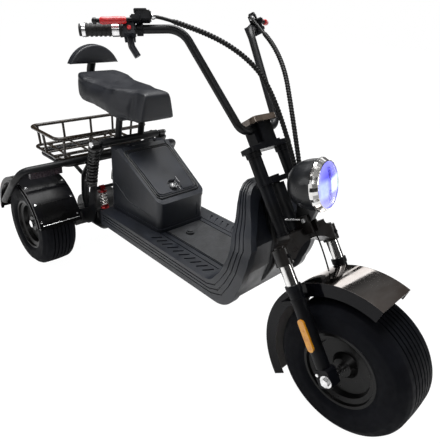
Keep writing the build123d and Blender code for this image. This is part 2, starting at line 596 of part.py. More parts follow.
# Seat on its pan and two posts, backrest on a bent post
seat_side = make_face([
    Polyline((0, SEAT_FRONT, 752), (0, SEAT_FRONT, 846)),
    ThreePointArc((0, SEAT_FRONT, 846), (0, SEAT_FRONT + 8, 862), (0, SEAT_FRONT + 26, 868)),
    ThreePointArc((0, SEAT_FRONT + 26, 868), (0, -300, 858), (0, -60, 884)),
    ThreePointArc((0, -60, 884), (0, SEAT_REAR - 8, 874), (0, SEAT_REAR, 850)),
    Polyline((0, SEAT_REAR, 850), (0, SEAT_REAR - 8, 804), (0, -140, 770), (0, -350, 734), (0, SEAT_FRONT, 752)),
])
seat = extrude(seat_side, amount=160, dir=(1, 0, 0), both=True)
seat_plan = make_face([
    Polyline((-100, SEAT_FRONT - 1, 0), (100, SEAT_FRONT - 1, 0)),
    ThreePointArc((100, SEAT_FRONT - 1, 0), (116, -330, 0), (146, -160, 0)),
    ThreePointArc((146, -160, 0), (122, -52, 0), (0, SEAT_REAR + 1, 0)),
    ThreePointArc((0, SEAT_REAR + 1, 0), (-122, -52, 0), (-146, -160, 0)),
    ThreePointArc((-146, -160, 0), (-116, -330, 0), (-100, SEAT_FRONT - 1, 0)),
])
seat &= Pos(0, 0, 700) * extrude(seat_plan, amount=260, dir=(0, 0, 1))
put("seat", seat)
moon = make_face([
    ThreePointArc((-BACK_HALF, 0, BACK_LOW), (0, 0, BACK_HIGH), (BACK_HALF, 0, BACK_LOW)),
    Polyline((BACK_HALF, 0, BACK_LOW), (-BACK_HALF, 0, BACK_LOW)),
])
pad = Pos(0, BACK_Y, 0) * extrude(moon, amount=BACK_T / 2, dir=(0, 1, 0), both=True)
put("backrest_pad", pad)
PAN_T = 8
pan_line = [(-350, 734 - SEAT_GAP), (-140, 770 - SEAT_GAP), (-140, 770 - SEAT_GAP - PAN_T), (-350, 734 - SEAT_GAP - PAN_T)]
pan = across(pan_line, 74)
POST_R = 18
POST_Y = SEAT_REAR + POST_R + 4
post = pipe([(0, -235, 728), (0, POST_Y, 738), (0, POST_Y, 874), (0, BACK_Y + 8, BACK_LOW + 24)], [60, 40], POST_R)
post -= box((-60, 60), (-200, 200), (BACK_LOW - SEAT_GAP, BACK_LOW + 90))
pan_room = across([(-350, 734 - PAN_T - SEAT_GAP), (-140, 770 - PAN_T - SEAT_GAP), (-140, 800), (-350, 800)], 74)
post -= pan_room
put("backrest_post", max(post.solids(), key=lambda q: q.volume))
cross_tube = rod((-CROSS_HALF, CROSS_Y, CROSS_Z), (CROSS_HALF, CROSS_Y, CROSS_Z), CROSS_R)
support = pan
for s in (-1, 1):
    support += rod((s * 58, -297, CROSS_Z), (s * 58, -316, 738), 14) - cross_tube
put("seat_support", support)

# Rear axle, drive block, swinging subframe, shocks
HOUSING_HALF = 190
REAR_NUT_X = REAR_WHEEL_X + REAR_W / 2 * 0.86 - 21
put("rear_axle", rod((-REAR_NUT_X, 0, REAR_R), (REAR_NUT_X, 0, REAR_R), REAR_SHAFT_R))
housing = rod((-HOUSING_HALF, 0, REAR_R), (HOUSING_HALF, 0, REAR_R), 30)
housing += rod((-84, 0, REAR_R), (84, 0, REAR_R), 76)
housing -= rod((-HOUSING_HALF - 1, 0, REAR_R), (HOUSING_HALF + 1, 0, REAR_R), REAR_SHAFT_R)
put("drive_motor", housing)
SHOCK_FOOT = (-248, 437)
SMALL_TOP = (-226, 398)
PLATE_X = (150, 159)
arm_line = [(-262, 446), (-236, 450), (-212, 408), (-176, 290), (-60, 240), (-30, 240), (-30, 158), (-70, 158), (-214, 236), (-236, 300)]


def swing_plate(side):
    body = across(arm_line, PLATE_X[1]) - across(arm_line, PLATE_X[0])
    body &= box(sided(side, PLATE_X[0], PLATE_X[1]), (-400, 200), (0, 700))
    body += rod((side * PLATE_X[0], 0, REAR_R), (side * PLATE_X[1], 0, REAR_R), 46)
    body -= rod((side * (PLATE_X[0] - 5), 0, REAR_R), (side * (PLATE_X[1] + 5), 0, REAR_R), 30)
    return body


swing = swing_plate(-1) + swing_plate(1)
swing += rod((-PLATE_X[1], *PIVOT), (PLATE_X[1], *PIVOT), 10)
swing += rod((-PLATE_X[1], *SMALL_TOP), (PLATE_X[1], *SMALL_TOP), 8)
for s in (-1, 1):
    swing += rod((s * PLATE_X[0], *SHOCK_FOOT), (s * (SHOCK_X + 14), *SHOCK_FOOT), 8)
put("rear_subframe", swing)


def coil(radius, wire, pitch, height):
    path = Helix(pitch=pitch, height=height, radius=radius)
    return sweep(Plane(origin=path @ 0, z_dir=path % 0) * Circle(wire), path=path, is_frenet=True)


def shock(x, foot, top, eye, radius, wire, turns, cap):
    low, high = Vector(x, *foot), Vector(x, *top)
    way = (high - low).normalized()
    length = (high - low).length
    plane = Plane(origin=low, x_dir=(1, 0, 0), z_dir=way)
    margin = eye + 10
    span = length - 2 * margin - 8
    body = Solid.make_cylinder(9, length, plane)
    body += in_plane(plane, Pos(0, 0, length * 0.32) * Cylinder(radius - wire - 1.5, length * 0.4))
    for at in (margin - 8, length - margin):
        body += in_plane(plane, Pos(0, 0, at + 4) * Cylinder(cap, 8))
    body += in_plane(plane, Pos(0, 0, margin + 2) * coil(radius, wire, span / turns, span + 4))
    for end in (low, high):
        body += rod((end.X - eye, end.Y, end.Z), (end.X + eye, end.Y, end.Z), eye)
        body -= rod((end.X - 40, end.Y, end.Z), (end.X + 40, end.Y, end.Z), 8)
    return max(body.solids(), key=lambda q: q.volume)


put("rear_springs", *[shock(s * SHOCK_X, SHOCK_FOOT, (CROSS_Y, CROSS_Z), 13, 21, 4, 9, 26) for s in (-1, 1)])
put("inner_shocks", *[shock(s * SMALL_X, SMALL_FOOT, SMALL_TOP, 11, 15, 3, 4, 20) for s in (-1, 1)])
heads = []
for s in (-1, 1):
    for y, z in ((CROSS_Y, CROSS_Z), SHOCK_FOOT):
        heads.append(rod((s * (SHOCK_X + 14), y, z), (s * (SHOCK_X + 20), y, z), 12))
    heads.append(rod((s * REAR_NUT_X, 0, REAR_R), (s * (REAR_NUT_X + 9), 0, REAR_R), 17))
put("rear_bolts", *heads)
blocks = []
for s in (-1, 1):
    block_body = box(sided(s, 180, REAR_DISC_IN - 5), (-128, -86), (REAR_R - 7, REAR_R + 53))
    block_body += box(sided(s, PLATE_X[1], 182), (-118, -96), (REAR_R + 3, REAR_R + 43))
    block_body -= rod((s * 150, 0, REAR_R), (s * 181, 0, REAR_R), 46)
    blocks.append(block_body)
put("rear_calipers", *blocks)


# Rear fenders
def fender(side):
    outer = rod((side * FENDER_IN, 0, FENDER_Z), (side * FENDER_OUT, 0, FENDER_Z), FENDER_R)
    inner = rod((side * (FENDER_IN - 1), 0, FENDER_Z), (side * (FENDER_OUT + 1), 0, FENDER_Z), FENDER_R - SHEET)
    band = outer - inner
    lip = rod((side * (FENDER_OUT - SHEET), 0, FENDER_Z), (side * FENDER_OUT, 0, FENDER_Z), FENDER_R)
    lip += rod((side * FENDER_IN, 0, FENDER_Z), (side * (FENDER_IN + SHEET), 0, FENDER_Z), FENDER_R)
    lip -= rod((side * (FENDER_IN - 1), 0, FENDER_Z), (side * (FENDER_OUT + 1), 0, FENDER_Z), FENDER_R - 20)
    bead = rod((side * (FENDER_OUT - 8), 0, FENDER_Z), (side * (FENDER_OUT + 4), 0, FENDER_Z), FENDER_R - 18)
    bead -= rod((side * (FENDER_OUT - 9), 0, FENDER_Z), (side * (FENDER_OUT + 5), 0, FENDER_Z), FENDER_R - 24)
    body = band + lip + bead
    low_x = sided(side, FENDER_IN - 5, FENDER_OUT + 9)
    body -= box(low_x, (-300, 0), (-60, 268))
    body -= box(low_x, (0, 300), (-60, 214))
    return body


put("rear_fenders", fender(-1), fender(1))

# Bumper tube, rack ring and basket
BUMPER_Y = -104
BUMPER_Z = 500
BUMPER_HALF = FENDER_OUT + 22
bumper_line = [
    (-BUMPER_HALF, 88, 306), (-BUMPER_HALF, -50, 436), (-BUMPER_HALF + 22, BUMPER_Y, BUMPER_Z),
    (BUMPER_HALF - 22, BUMPER_Y, BUMPER_Z), (BUMPER_HALF, -50, 436), (BUMPER_HALF, 88, 306),
]
bumper = pipe(bumper_line, [70, 40, 40, 70], BUMPER_R)
put("bumper_tube", bumper)
strips = []
for s in (-1, 1):
    strip = box(sided(s, 236, 380), (BUMPER_Y - 9, BUMPER_Y + 9), (BUMPER_Z - 40, BUMPER_Z - 4))
    strips.append(strip - rod((-BUMPER_HALF, BUMPER_Y, BUMPER_Z), (BUMPER_HALF, BUMPER_Y, BUMPER_Z), BUMPER_R))
put("bumper_strips", *strips)


def ring_tube(half, y0, y1, z, corner, radius):
    sides = [pipe([(0, y0, z), (s * half, y0, z), (s * half, y1, z), (0, y1, z)], [corner, corner], radius)
             for s in (-1, 1)]
    return sides[0] + sides[1]


RACK_Z = 478
RACK_R = 11
RACK_HALF = 205
RACK_FRONT = -80
RACK_REAR = 160
rack = ring_tube(RACK_HALF, RACK_FRONT, RACK_REAR, RACK_Z, 36, RACK_R)
loop_solids = [pipe([(s * LOOP_X, y, z) for y, z in LOOP_LINE], LOOP_BENDS, LOOP_R) for s in (-1, 1)]
for s in (-1, 1):
    rack += rod((s * LOOP_X, -112, 424), (s * LOOP_X, 60, RACK_Z), 9)
    rack += rod((s * LOOP_X, -106, 370), (s * LOOP_X, 140, RACK_Z), 9)
    rack += rod((s * LOOP_X, 60, RACK_Z), (s * RACK_HALF, 60, RACK_Z), 8)
    rack += rod((s * RACK_HALF, 10, RACK_Z), (s * 232, 0, FENDER_Z + FENDER_R - 8), 7)
    rack += box(sided(s, 98, 112), (BUMPER_Y, -78), (RACK_Z - 6, BUMPER_Z))
rack += rod((-RACK_HALF, 60, RACK_Z), (RACK_HALF, 60, RACK_Z), 8)
for q in loop_solids:
    rack -= q
rack -= rod((-BUMPER_HALF, BUMPER_Y, BUMPER_Z), (BUMPER_HALF, BUMPER_Y, BUMPER_Z), BUMPER_R)
for s in (-1, 1):
    rack -= rod((s * FENDER_IN, 0, FENDER_Z), (s * FENDER_OUT, 0, FENDER_Z), FENDER_R)
put("rack", max(rack.solids(), key=lambda q: q.volume))

RIM_R = 8
WIRE_R = 6
low_half, low_front, low_rear = BASKET_HALF - 10, BASKET_FRONT + 8, BASKET_REAR - 8
basket = ring_tube(BASKET_HALF, BASKET_FRONT, BASKET_REAR, BASKET_TOP, 34, RIM_R)
basket += ring_tube(low_half, low_front, low_rear, BASKET_LOW, 30, 7)
for x in (-BASKET_HALF + 34, -76, 76, BASKET_HALF - 34):
    for y0, y1 in ((BASKET_FRONT, low_front), (BASKET_REAR, low_rear)):
        basket += rod((x, y0, BASKET_TOP), (x * 0.98, y1, BASKET_LOW), WIRE_R)
for s in (-1, 1):
    basket += rod((s * BASKET_HALF, 40, BASKET_TOP), (s * low_half, 40, BASKET_LOW), WIRE_R)
for y in (-30, 40, 110):
    basket += rod((-low_half, y, BASKET_LOW), (low_half, y, BASKET_LOW), 5)
for x in (-170, -57, 57, 170):
    basket += rod((x, low_front, BASKET_LOW), (x, low_rear, BASKET_LOW), 5)
for x in (-150, 150):
    for y in (RACK_FRONT, RACK_REAR):
        foot = rod((x, y, RACK_Z), (x, y, BASKET_LOW), 7)
        basket += foot - rod((-RACK_HALF, y, RACK_Z), (RACK_HALF, y, RACK_Z), RACK_R)
put("basket", basket)

# Brake hoses and the front brake line, held along the fork
HOSE_R = 8
HOSES = {
    1: [(150, -40, 985), (60, -60, 768), (26, -40, 600)],
    -1: [(-70, -56, 1018), (0, -84, 850), (8, -40, 600)],
}


def hose(side):
    plane = along_bar(GRIP_L + 52, side)
    start = [plane.origin + plane.x_dir * MASTER[0] + plane.y_dir * side * MASTER[1] + plane.z_dir * at
             for at in (MASTER[2], MASTER[2] + 30)]
    line = [tuple(q) for q in start] + HOSES[side]
    return in_fork(pipe(line, [24, 70, 80], HOSE_R))


hoses = [hose(-1), hose(1)]
hoses.append(in_fork(pipe([(8, -22, CROWN_TOP + 1), (8, -40, CROWN_TOP - 30), (14, -22, 286)], [30], 2.5)))
put("brake_hoses", *hoses)

os.makedirs("parts", exist_ok=True)
for name, shape in PARTS.items():
    export_step(Pos(0, Y_SHIFT, 0) * shape, "parts/" + name + ".step")
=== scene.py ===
import bpy, bmesh, json, math
from mathutils import Matrix, Vector, noise
from math import sin, cos, pi, radians, sqrt, atan2

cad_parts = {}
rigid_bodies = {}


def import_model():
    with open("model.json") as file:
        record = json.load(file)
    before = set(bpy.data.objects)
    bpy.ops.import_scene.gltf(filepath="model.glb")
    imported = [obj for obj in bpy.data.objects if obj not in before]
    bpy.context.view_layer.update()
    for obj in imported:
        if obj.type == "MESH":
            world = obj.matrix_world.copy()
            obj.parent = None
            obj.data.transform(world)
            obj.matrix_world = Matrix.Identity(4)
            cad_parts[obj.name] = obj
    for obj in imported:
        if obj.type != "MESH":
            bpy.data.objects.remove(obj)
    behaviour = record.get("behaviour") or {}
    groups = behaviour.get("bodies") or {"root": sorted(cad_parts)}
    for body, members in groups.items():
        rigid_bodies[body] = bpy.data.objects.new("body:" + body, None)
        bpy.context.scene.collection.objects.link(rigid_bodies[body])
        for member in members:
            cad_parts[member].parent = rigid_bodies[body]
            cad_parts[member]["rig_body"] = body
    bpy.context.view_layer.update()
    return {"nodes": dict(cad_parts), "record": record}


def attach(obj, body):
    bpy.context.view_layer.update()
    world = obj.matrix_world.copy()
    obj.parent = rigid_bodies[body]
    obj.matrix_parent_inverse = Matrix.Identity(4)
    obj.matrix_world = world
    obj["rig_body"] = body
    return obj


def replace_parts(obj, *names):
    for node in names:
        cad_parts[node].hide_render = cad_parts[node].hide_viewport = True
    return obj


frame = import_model()
nodes = frame["nodes"]
scene = bpy.context.scene
scene.view_settings.view_transform = "Standard"

# Named places in metres, from the sizes that the CAD part is built with
WHEELBASE = 1.502
FRONT_R = 0.2225
FENDER_R = 0.234
Y_SHIFT = (WHEELBASE + FRONT_R - FENDER_R) / 2
REAR_R = 0.197
REAR_X = 0.3065
RAKE = radians(35)
AXLE_NUT_X = 0.146
GRIP_R, GRIP_L = 0.017, 0.118
# Front fender: places within its 3 mm sheet where the skirts' black and the plated outside begin
GUARD_EDGE_X, GUARD_INNER_R = 0.0806, 0.2812
# Rear fenders: the height of their round's middle, and the radius where bolts sit
FENDER_Z, FENDER_SKIN_R = 0.199, 0.2336
# Battery box: its front, its length, its half width in front and how much that grows to the back
BOX_FRONT, BOX_LENGTH = -0.668, 0.334
BOX_HALF_FRONT, BOX_FLARE = 0.116, 0.014
# Lid: its low edge, its thickness, its slope, the way along y for each unit up it, and the lock's place
LID_LOW_Y, LID_LOW_Z, LID_T = -0.646, 0.474, 0.012
LID_ANGLE, LID_RUN = radians(30.04), 0.866
LOCK_D = 0.050
# Inner shocks: the middle of the bright stretch and half its length
INNER_SHOCK_Z, SHOCK_BRIGHT_HALF = 0.348, 0.0275
# Seat and backrest: the seat's underside and thickness at its front, and where the backrest's seam draws to
SEAT_LOW, SEAT_T, BACKREST_Z = 0.752, 0.11, 0.93
FORK_ORIGIN = Vector((0, -WHEELBASE + Y_SHIFT, FRONT_R))
FORK_UP = Vector((0, sin(RAKE), cos(RAKE)))
FORK_BACK = Vector((0, cos(RAKE), -sin(RAKE)))


def fork(x, back, up):
    return FORK_ORIGIN + Vector((x, 0, 0)) + FORK_BACK * back + FORK_UP * up


def place(x, y, z):
    return Vector((x, y + Y_SHIFT, z))


# Camera at the photograph's viewing angle, with the focal length and the longer side in its pixels
YAW, PITCH, ROLL = 0.80362, -0.46724, 0.06898
CAMERA_AT = (-1.08965, -1.18924, 1.21894)
FOCAL_PIXELS, PHOTO_PIXELS = 450.48, 443
SENSOR = 36
look = Vector((sin(YAW) * cos(PITCH), cos(YAW) * cos(PITCH), sin(PITCH)))
right = look.cross(Vector((0, 0, 1))).normalized()
up = right.cross(look)
cam_x = right * cos(ROLL) + up * sin(ROLL)
cam_y = up * cos(ROLL) - right * sin(ROLL)
camera = bpy.data.objects.new("camera", bpy.data.cameras.new("camera"))
scene.collection.objects.link(camera)
turn = Matrix((cam_x, cam_y, -look)).transposed()
camera.matrix_world = Matrix.Translation(CAMERA_AT) @ turn.to_4x4()
camera.data.sensor_width = SENSOR
camera.data.lens = FOCAL_PIXELS * SENSOR / PHOTO_PIXELS
camera.data.clip_start = 0.02
scene.camera = camera


# Materials
def new_material(name):
    m = bpy.data.materials.new(name)
    m.use_nodes = True
    return m, m.node_tree, m.node_tree.nodes["Principled BSDF"]


def node(nt, kind, **values):
    n = nt.nodes.new(kind)
    for key, value in values.items():
        setattr(n, key, value)
    return n


def feed(nt, socket, value):
    # A socket takes a link, a number or a colour
    if isinstance(value, bpy.types.NodeSocket):
        nt.links.new(value, socket)
    else:
        socket.default_value = (*value, 1) if isinstance(value, tuple) else value


def calc(nt, operation, a, b=None):
    n = node(nt, "ShaderNodeMath", operation=operation)
    feed(nt, n.inputs[0], a)
    if b is not None:
        feed(nt, n.inputs[1], b)
    return n.outputs[0]


def blend(nt, share, under, cover):
    m = node(nt, "ShaderNodeMix", data_type="RGBA")
    feed(nt, m.inputs["Factor"], share)
    feed(nt, m.inputs[6], under)
    feed(nt, m.inputs[7], cover)
    return m.outputs[2]


def coords(nt, scale=(1, 1, 1)):
    tc = node(nt, "ShaderNodeTexCoord")
    mp = node(nt, "ShaderNodeMapping")
    mp.inputs["Scale"].default_value = scale
    nt.links.new(tc.outputs["Object"], mp.inputs["Vector"])
    return mp.outputs["Vector"]


def split(nt, vec):
    sep = node(nt, "ShaderNodeSeparateXYZ")
    nt.links.new(vec, sep.inputs["Vector"])
    return sep.outputs["X"], sep.outputs["Y"], sep.outputs["Z"]


def noise_tex(nt, vec, scale, detail=4, rough=0.55):
    n = node(nt, "ShaderNodeTexNoise")
    n.inputs["Scale"].default_value = scale
    n.inputs["Detail"].default_value = detail
    n.inputs["Roughness"].default_value = rough
    nt.links.new(vec, n.inputs["Vector"])
    return n.outputs["Fac"]


def ramp(nt, fac, stops):
    r = node(nt, "ShaderNodeValToRGB")
    els = r.color_ramp.elements
    while len(els) < len(stops):
        els.new(0.5)
    for el, (at, col) in zip(els, stops):
        el.position = at
        el.color = (*col, 1)
    nt.links.new(fac, r.inputs["Fac"])
    return r.outputs["Color"]


def span(nt, fac, low, high, from_low=0.3, from_high=0.7):
    m = node(nt, "ShaderNodeMapRange")
    m.inputs["From Min"].default_value = from_low
    m.inputs["From Max"].default_value = from_high
    m.inputs["To Min"].default_value = low
    m.inputs["To Max"].default_value = high
    nt.links.new(fac, m.inputs["Value"])
    return m.outputs["Result"]


def bump(nt, bsdf, height, strength, distance, normal=None):
    b = node(nt, "ShaderNodeBump")
    b.inputs["Strength"].default_value = strength
    b.inputs["Distance"].default_value = distance
    nt.links.new(height, b.inputs["Height"])
    if normal is not None:
        nt.links.new(normal, b.inputs["Normal"])
    nt.links.new(b.outputs["Normal"], bsdf.inputs["Normal"])
    return b.outputs["Normal"]


def grey(v, tint=(1, 1, 1)):
    return (v * tint[0], v * tint[1], v * tint[2])


def finish_of(name, base, alt, rough, scale, grain, grain_strength, metallic=0.0,
              coat=0.0, specular=0.5, dust=0.0, streak=(1, 1, 1)):
    # Painted, plated or moulded surface: slow colour drift, smears in the roughness, a fine grain, some dust
    m, nt, b = new_material(name)
    vec = coords(nt)
    colour = ramp(nt, noise_tex(nt, vec, scale, 5), [(0.32, base), (0.68, alt)])
    if dust:
        fine = noise_tex(nt, vec, 160, 6, 0.7)
        mask = ramp(nt, fine, [(0.62, (0, 0, 0)), (0.74, (dust, dust, dust))])
        colour = blend(nt, mask, colour, (0.22, 0.21, 0.2))
    nt.links.new(colour, b.inputs["Base Color"])
    smear = noise_tex(nt, coords(nt, streak), scale * 3, 4)
    nt.links.new(span(nt, smear, *rough), b.inputs["Roughness"])
    b.inputs["Metallic"].default_value = metallic
    b.inputs["Specular IOR Level"].default_value = specular
    b.inputs["Coat Weight"].default_value = coat
    b.inputs["Coat Roughness"].default_value = 0.04
    bump(nt, b, noise_tex(nt, vec, grain, 3, 0.6), grain_strength, 0.0004)
    return m


def leather(name):
    m, nt, b = new_material(name)
    vec = coords(nt)
    cells = node(nt, "ShaderNodeTexVoronoi", feature="DISTANCE_TO_EDGE")
    cells.inputs["Scale"].default_value = 420
    nt.links.new(vec, cells.inputs["Vector"])
    slow = noise_tex(nt, vec, 14, 6, 0.6)
    colour = ramp(nt, slow, [(0.3, (0.0045, 0.0052, 0.0075)), (0.7, (0.0085, 0.0095, 0.013))])
    nt.links.new(colour, b.inputs["Base Color"])
    nt.links.new(span(nt, slow, 0.36, 0.50), b.inputs["Roughness"])
    b.inputs["Specular IOR Level"].default_value = 0.34
    pores = ramp(nt, cells.outputs["Distance"], [(0.0, (0, 0, 0)), (0.10, (1, 1, 1))])
    first = bump(nt, b, pores, 0.28, 0.0005)
    bump(nt, b, noise_tex(nt, vec, 38, 3), 0.18, 0.003, first)
    return m


def tyre_rubber(name):
    m, nt, b = new_material(name)
    vec = coords(nt)
    slow = noise_tex(nt, vec, 16, 6, 0.65)
    colour = ramp(nt, slow, [(0.3, (0.0012, 0.0014, 0.0024)), (0.7, (0.0032, 0.0037, 0.0056))])
    nt.links.new(colour, b.inputs["Base Color"])
    nt.links.new(span(nt, noise_tex(nt, vec, 45, 4), 0.55, 0.74), b.inputs["Roughness"])
    b.inputs["Specular IOR Level"].default_value = 0.06
    bump(nt, b, noise_tex(nt, vec, 420, 4, 0.7), 0.12, 0.0006)
    return m


def brushed(name, base, alt, rough, stretch):
    m, nt, b = new_material(name)
    lines = noise_tex(nt, coords(nt, stretch), 60, 5, 0.7)
    nt.links.new(ramp(nt, lines, [(0.3, base), (0.7, alt)]), b.inputs["Base Color"])
    nt.links.new(span(nt, lines, rough, rough + 0.16), b.inputs["Roughness"])
    b.inputs["Metallic"].default_value = 1.0
    bump(nt, b, lines, 0.08, 0.0003)
    return m


def mirror_fender(name):
    # Dark plated top with black enamelled side skirts, dull underneath; the plating's metal is tinted in brown
    # and grey patches, partly its own tone and partly a painted reflection of brown surroundings
    edge = 0.0006
    m, nt, b = new_material(name)
    vec = coords(nt)
    side = calc(nt, "ABSOLUTE", split(nt, vec)[0])
    skirt = span(nt, side, 0.0, 1.0, GUARD_EDGE_X - edge, GUARD_EDGE_X + edge)
    # Brown and grey patches in the plating's metal tint: partly the metal's own tone, partly a painted
    # reflection of brown surroundings
    drift_and_painted_reflection = noise_tex(nt, coords(nt, (0.4, 1, 1)), 9, 4)
    plating_and_painted_reflection = ramp(nt, drift_and_painted_reflection, [(0.35, (0.26, 0.215, 0.19)), (0.65, (0.46, 0.43, 0.41))])
    hub = node(nt, "ShaderNodeVectorMath", operation="SUBTRACT")
    nt.links.new(vec, hub.inputs[0])
    hub.inputs[1].default_value = FORK_ORIGIN
    flat = node(nt, "ShaderNodeVectorMath", operation="MULTIPLY")
    nt.links.new(hub.outputs["Vector"], flat.inputs[0])
    flat.inputs[1].default_value = (0, 1, 1)
    away = node(nt, "ShaderNodeVectorMath", operation="LENGTH")
    nt.links.new(flat.outputs["Vector"], away.inputs[0])
    inner = span(nt, away.outputs["Value"], 1.0, 0.0, GUARD_INNER_R - edge, GUARD_INNER_R + edge)
    top = span(nt, skirt, 1.0, 0.0, 0.0, 1.0)
    dull = calc(nt, "MULTIPLY", inner, top)
    painted = blend(nt, skirt, plating_and_painted_reflection, (0.002, 0.002, 0.003))
    nt.links.new(blend(nt, dull, painted, (0.10, 0.095, 0.09)), b.inputs["Base Color"])
    nt.links.new(calc(nt, "SUBTRACT", top, dull), b.inputs["Metallic"])
    smear = span(nt, noise_tex(nt, vec, 14, 4), 0.04, 0.12)
    rough = calc(nt, "ADD", smear, span(nt, dull, 0.0, 0.5, 0.0, 1.0))
    nt.links.new(rough, b.inputs["Roughness"])
    b.inputs["Specular IOR Level"].default_value = 0.12
    bump(nt, b, noise_tex(nt, vec, 30, 2), 0.05, 0.002)
    return m


def shock_finish(name):
    # Bright in the middle and red at both ends
    edge = 0.001
    m, nt, b = new_material(name)
    vec = coords(nt)
    far = calc(nt, "ABSOLUTE", calc(nt, "SUBTRACT", split(nt, vec)[2], INNER_SHOCK_Z))
    cap = span(nt, far, 0.0, 1.0, SHOCK_BRIGHT_HALF - edge, SHOCK_BRIGHT_HALF + edge)
    red = ramp(nt, noise_tex(nt, vec, 25, 4), [(0.35, (0.34, 0.012, 0.012)), (0.65, (0.20, 0.008, 0.010))])
    nt.links.new(blend(nt, cap, (0.62, 0.60, 0.58), red), b.inputs["Base Color"])
    nt.links.new(span(nt, cap, 1.0, 0.5, 0.0, 1.0), b.inputs["Metallic"])
    nt.links.new(span(nt, noise_tex(nt, vec, 60, 4), 0.14, 0.28), b.inputs["Roughness"])
    bump(nt, b, noise_tex(nt, vec, 400, 3), 0.05, 0.0004)
    return m


# Headlight, aimed a little up and to the vehicle's left as in the photograph
LAMP_AT = place(0, -1.295, 0.7425)
AIM_SIDE, AIM_UP = radians(9), radians(15)
LAMP_OUT = Vector((sin(AIM_SIDE) * cos(AIM_UP), -cos(AIM_SIDE) * cos(AIM_UP), sin(AIM_UP)))
LENS_AT = LAMP_AT + LAMP_OUT * 0.013
LENS_R = 0.069


def lens_material(name):
    # Blue lens lit from inside: violet blue, a pale lamp across the middle, dark marks above and below it
    m, nt, b = new_material(name)
    tc = node(nt, "ShaderNodeTexCoord")
    vec = tc.outputs["Object"]
    world_x, _, world_z = split(nt, vec)
    z = calc(nt, "SUBTRACT", world_z, LENS_AT.z)
    x = calc(nt, "SUBTRACT", world_x, LENS_AT.x)
    radius = calc(nt, "SQRT", calc(nt, "ADD", calc(nt, "MULTIPLY", z, z), calc(nt, "MULTIPLY", x, x)))
    patches = noise_tex(nt, vec, 70, 3)
    share = calc(nt, "ADD", calc(nt, "MULTIPLY", radius, 1 / LENS_R), calc(nt, "MULTIPLY", patches, 0.25))
    glow = ramp(nt, share, [
        (0.0, (0.20, 0.20, 0.95)),
        (0.5, (0.09, 0.08, 0.82)),
        (0.85, (0.22, 0.22, 0.95)),
        (1.0, (0.30, 0.30, 0.98)),
    ])

    def soft(value, middle, half, edge):
        away = calc(nt, "ABSOLUTE", calc(nt, "SUBTRACT", value, middle))
        return span(nt, away, 1.0, 0.0, half - edge, half + edge)

    blob = calc(nt, "MULTIPLY", soft(x, -0.034, 0.026, 0.010), soft(z, -0.006, 0.024, 0.008))
    colour = blend(nt, calc(nt, "MULTIPLY", blob, 0.8), glow, (0.50, 0.62, 1.0))
    block = calc(nt, "MULTIPLY", soft(x, 0.040, 0.030, 0.006), soft(z, -0.004, 0.020, 0.005))
    colour = blend(nt, block, colour, (0.80, 1.0, 1.0))
    height = calc(nt, "ABSOLUTE", z)
    marks = calc(nt, "MULTIPLY", soft(x, 0.004, 0.009, 0.003), soft(height, 0.031, 0.018, 0.003))
    spots = calc(nt, "MULTIPLY", marks, calc(nt, "GREATER_THAN", noise_tex(nt, vec, 150, 2), 0.46))
    colour = blend(nt, spots, colour, (0.02, 0.01, 0.38))
    ribs = node(nt, "ShaderNodeTexWave", wave_type="BANDS", bands_direction="X")
    ribs.inputs["Scale"].default_value = 90
    ribs.inputs["Distortion"].default_value = 1.2
    nt.links.new(vec, ribs.inputs["Vector"])
    nt.links.new(colour, b.inputs["Emission Color"])
    nt.links.new(blend(nt, patches, colour, (0, 0, 0.02)), b.inputs["Base Color"])
    b.inputs["Emission Strength"].default_value = 0.95
    nt.links.new(span(nt, ribs.outputs["Fac"], 0.06, 0.14), b.inputs["Roughness"])
    b.inputs["Coat Weight"].default_value = 0.8
    bump(nt, b, ribs.outputs["Fac"], 0.25, 0.001)
    return m


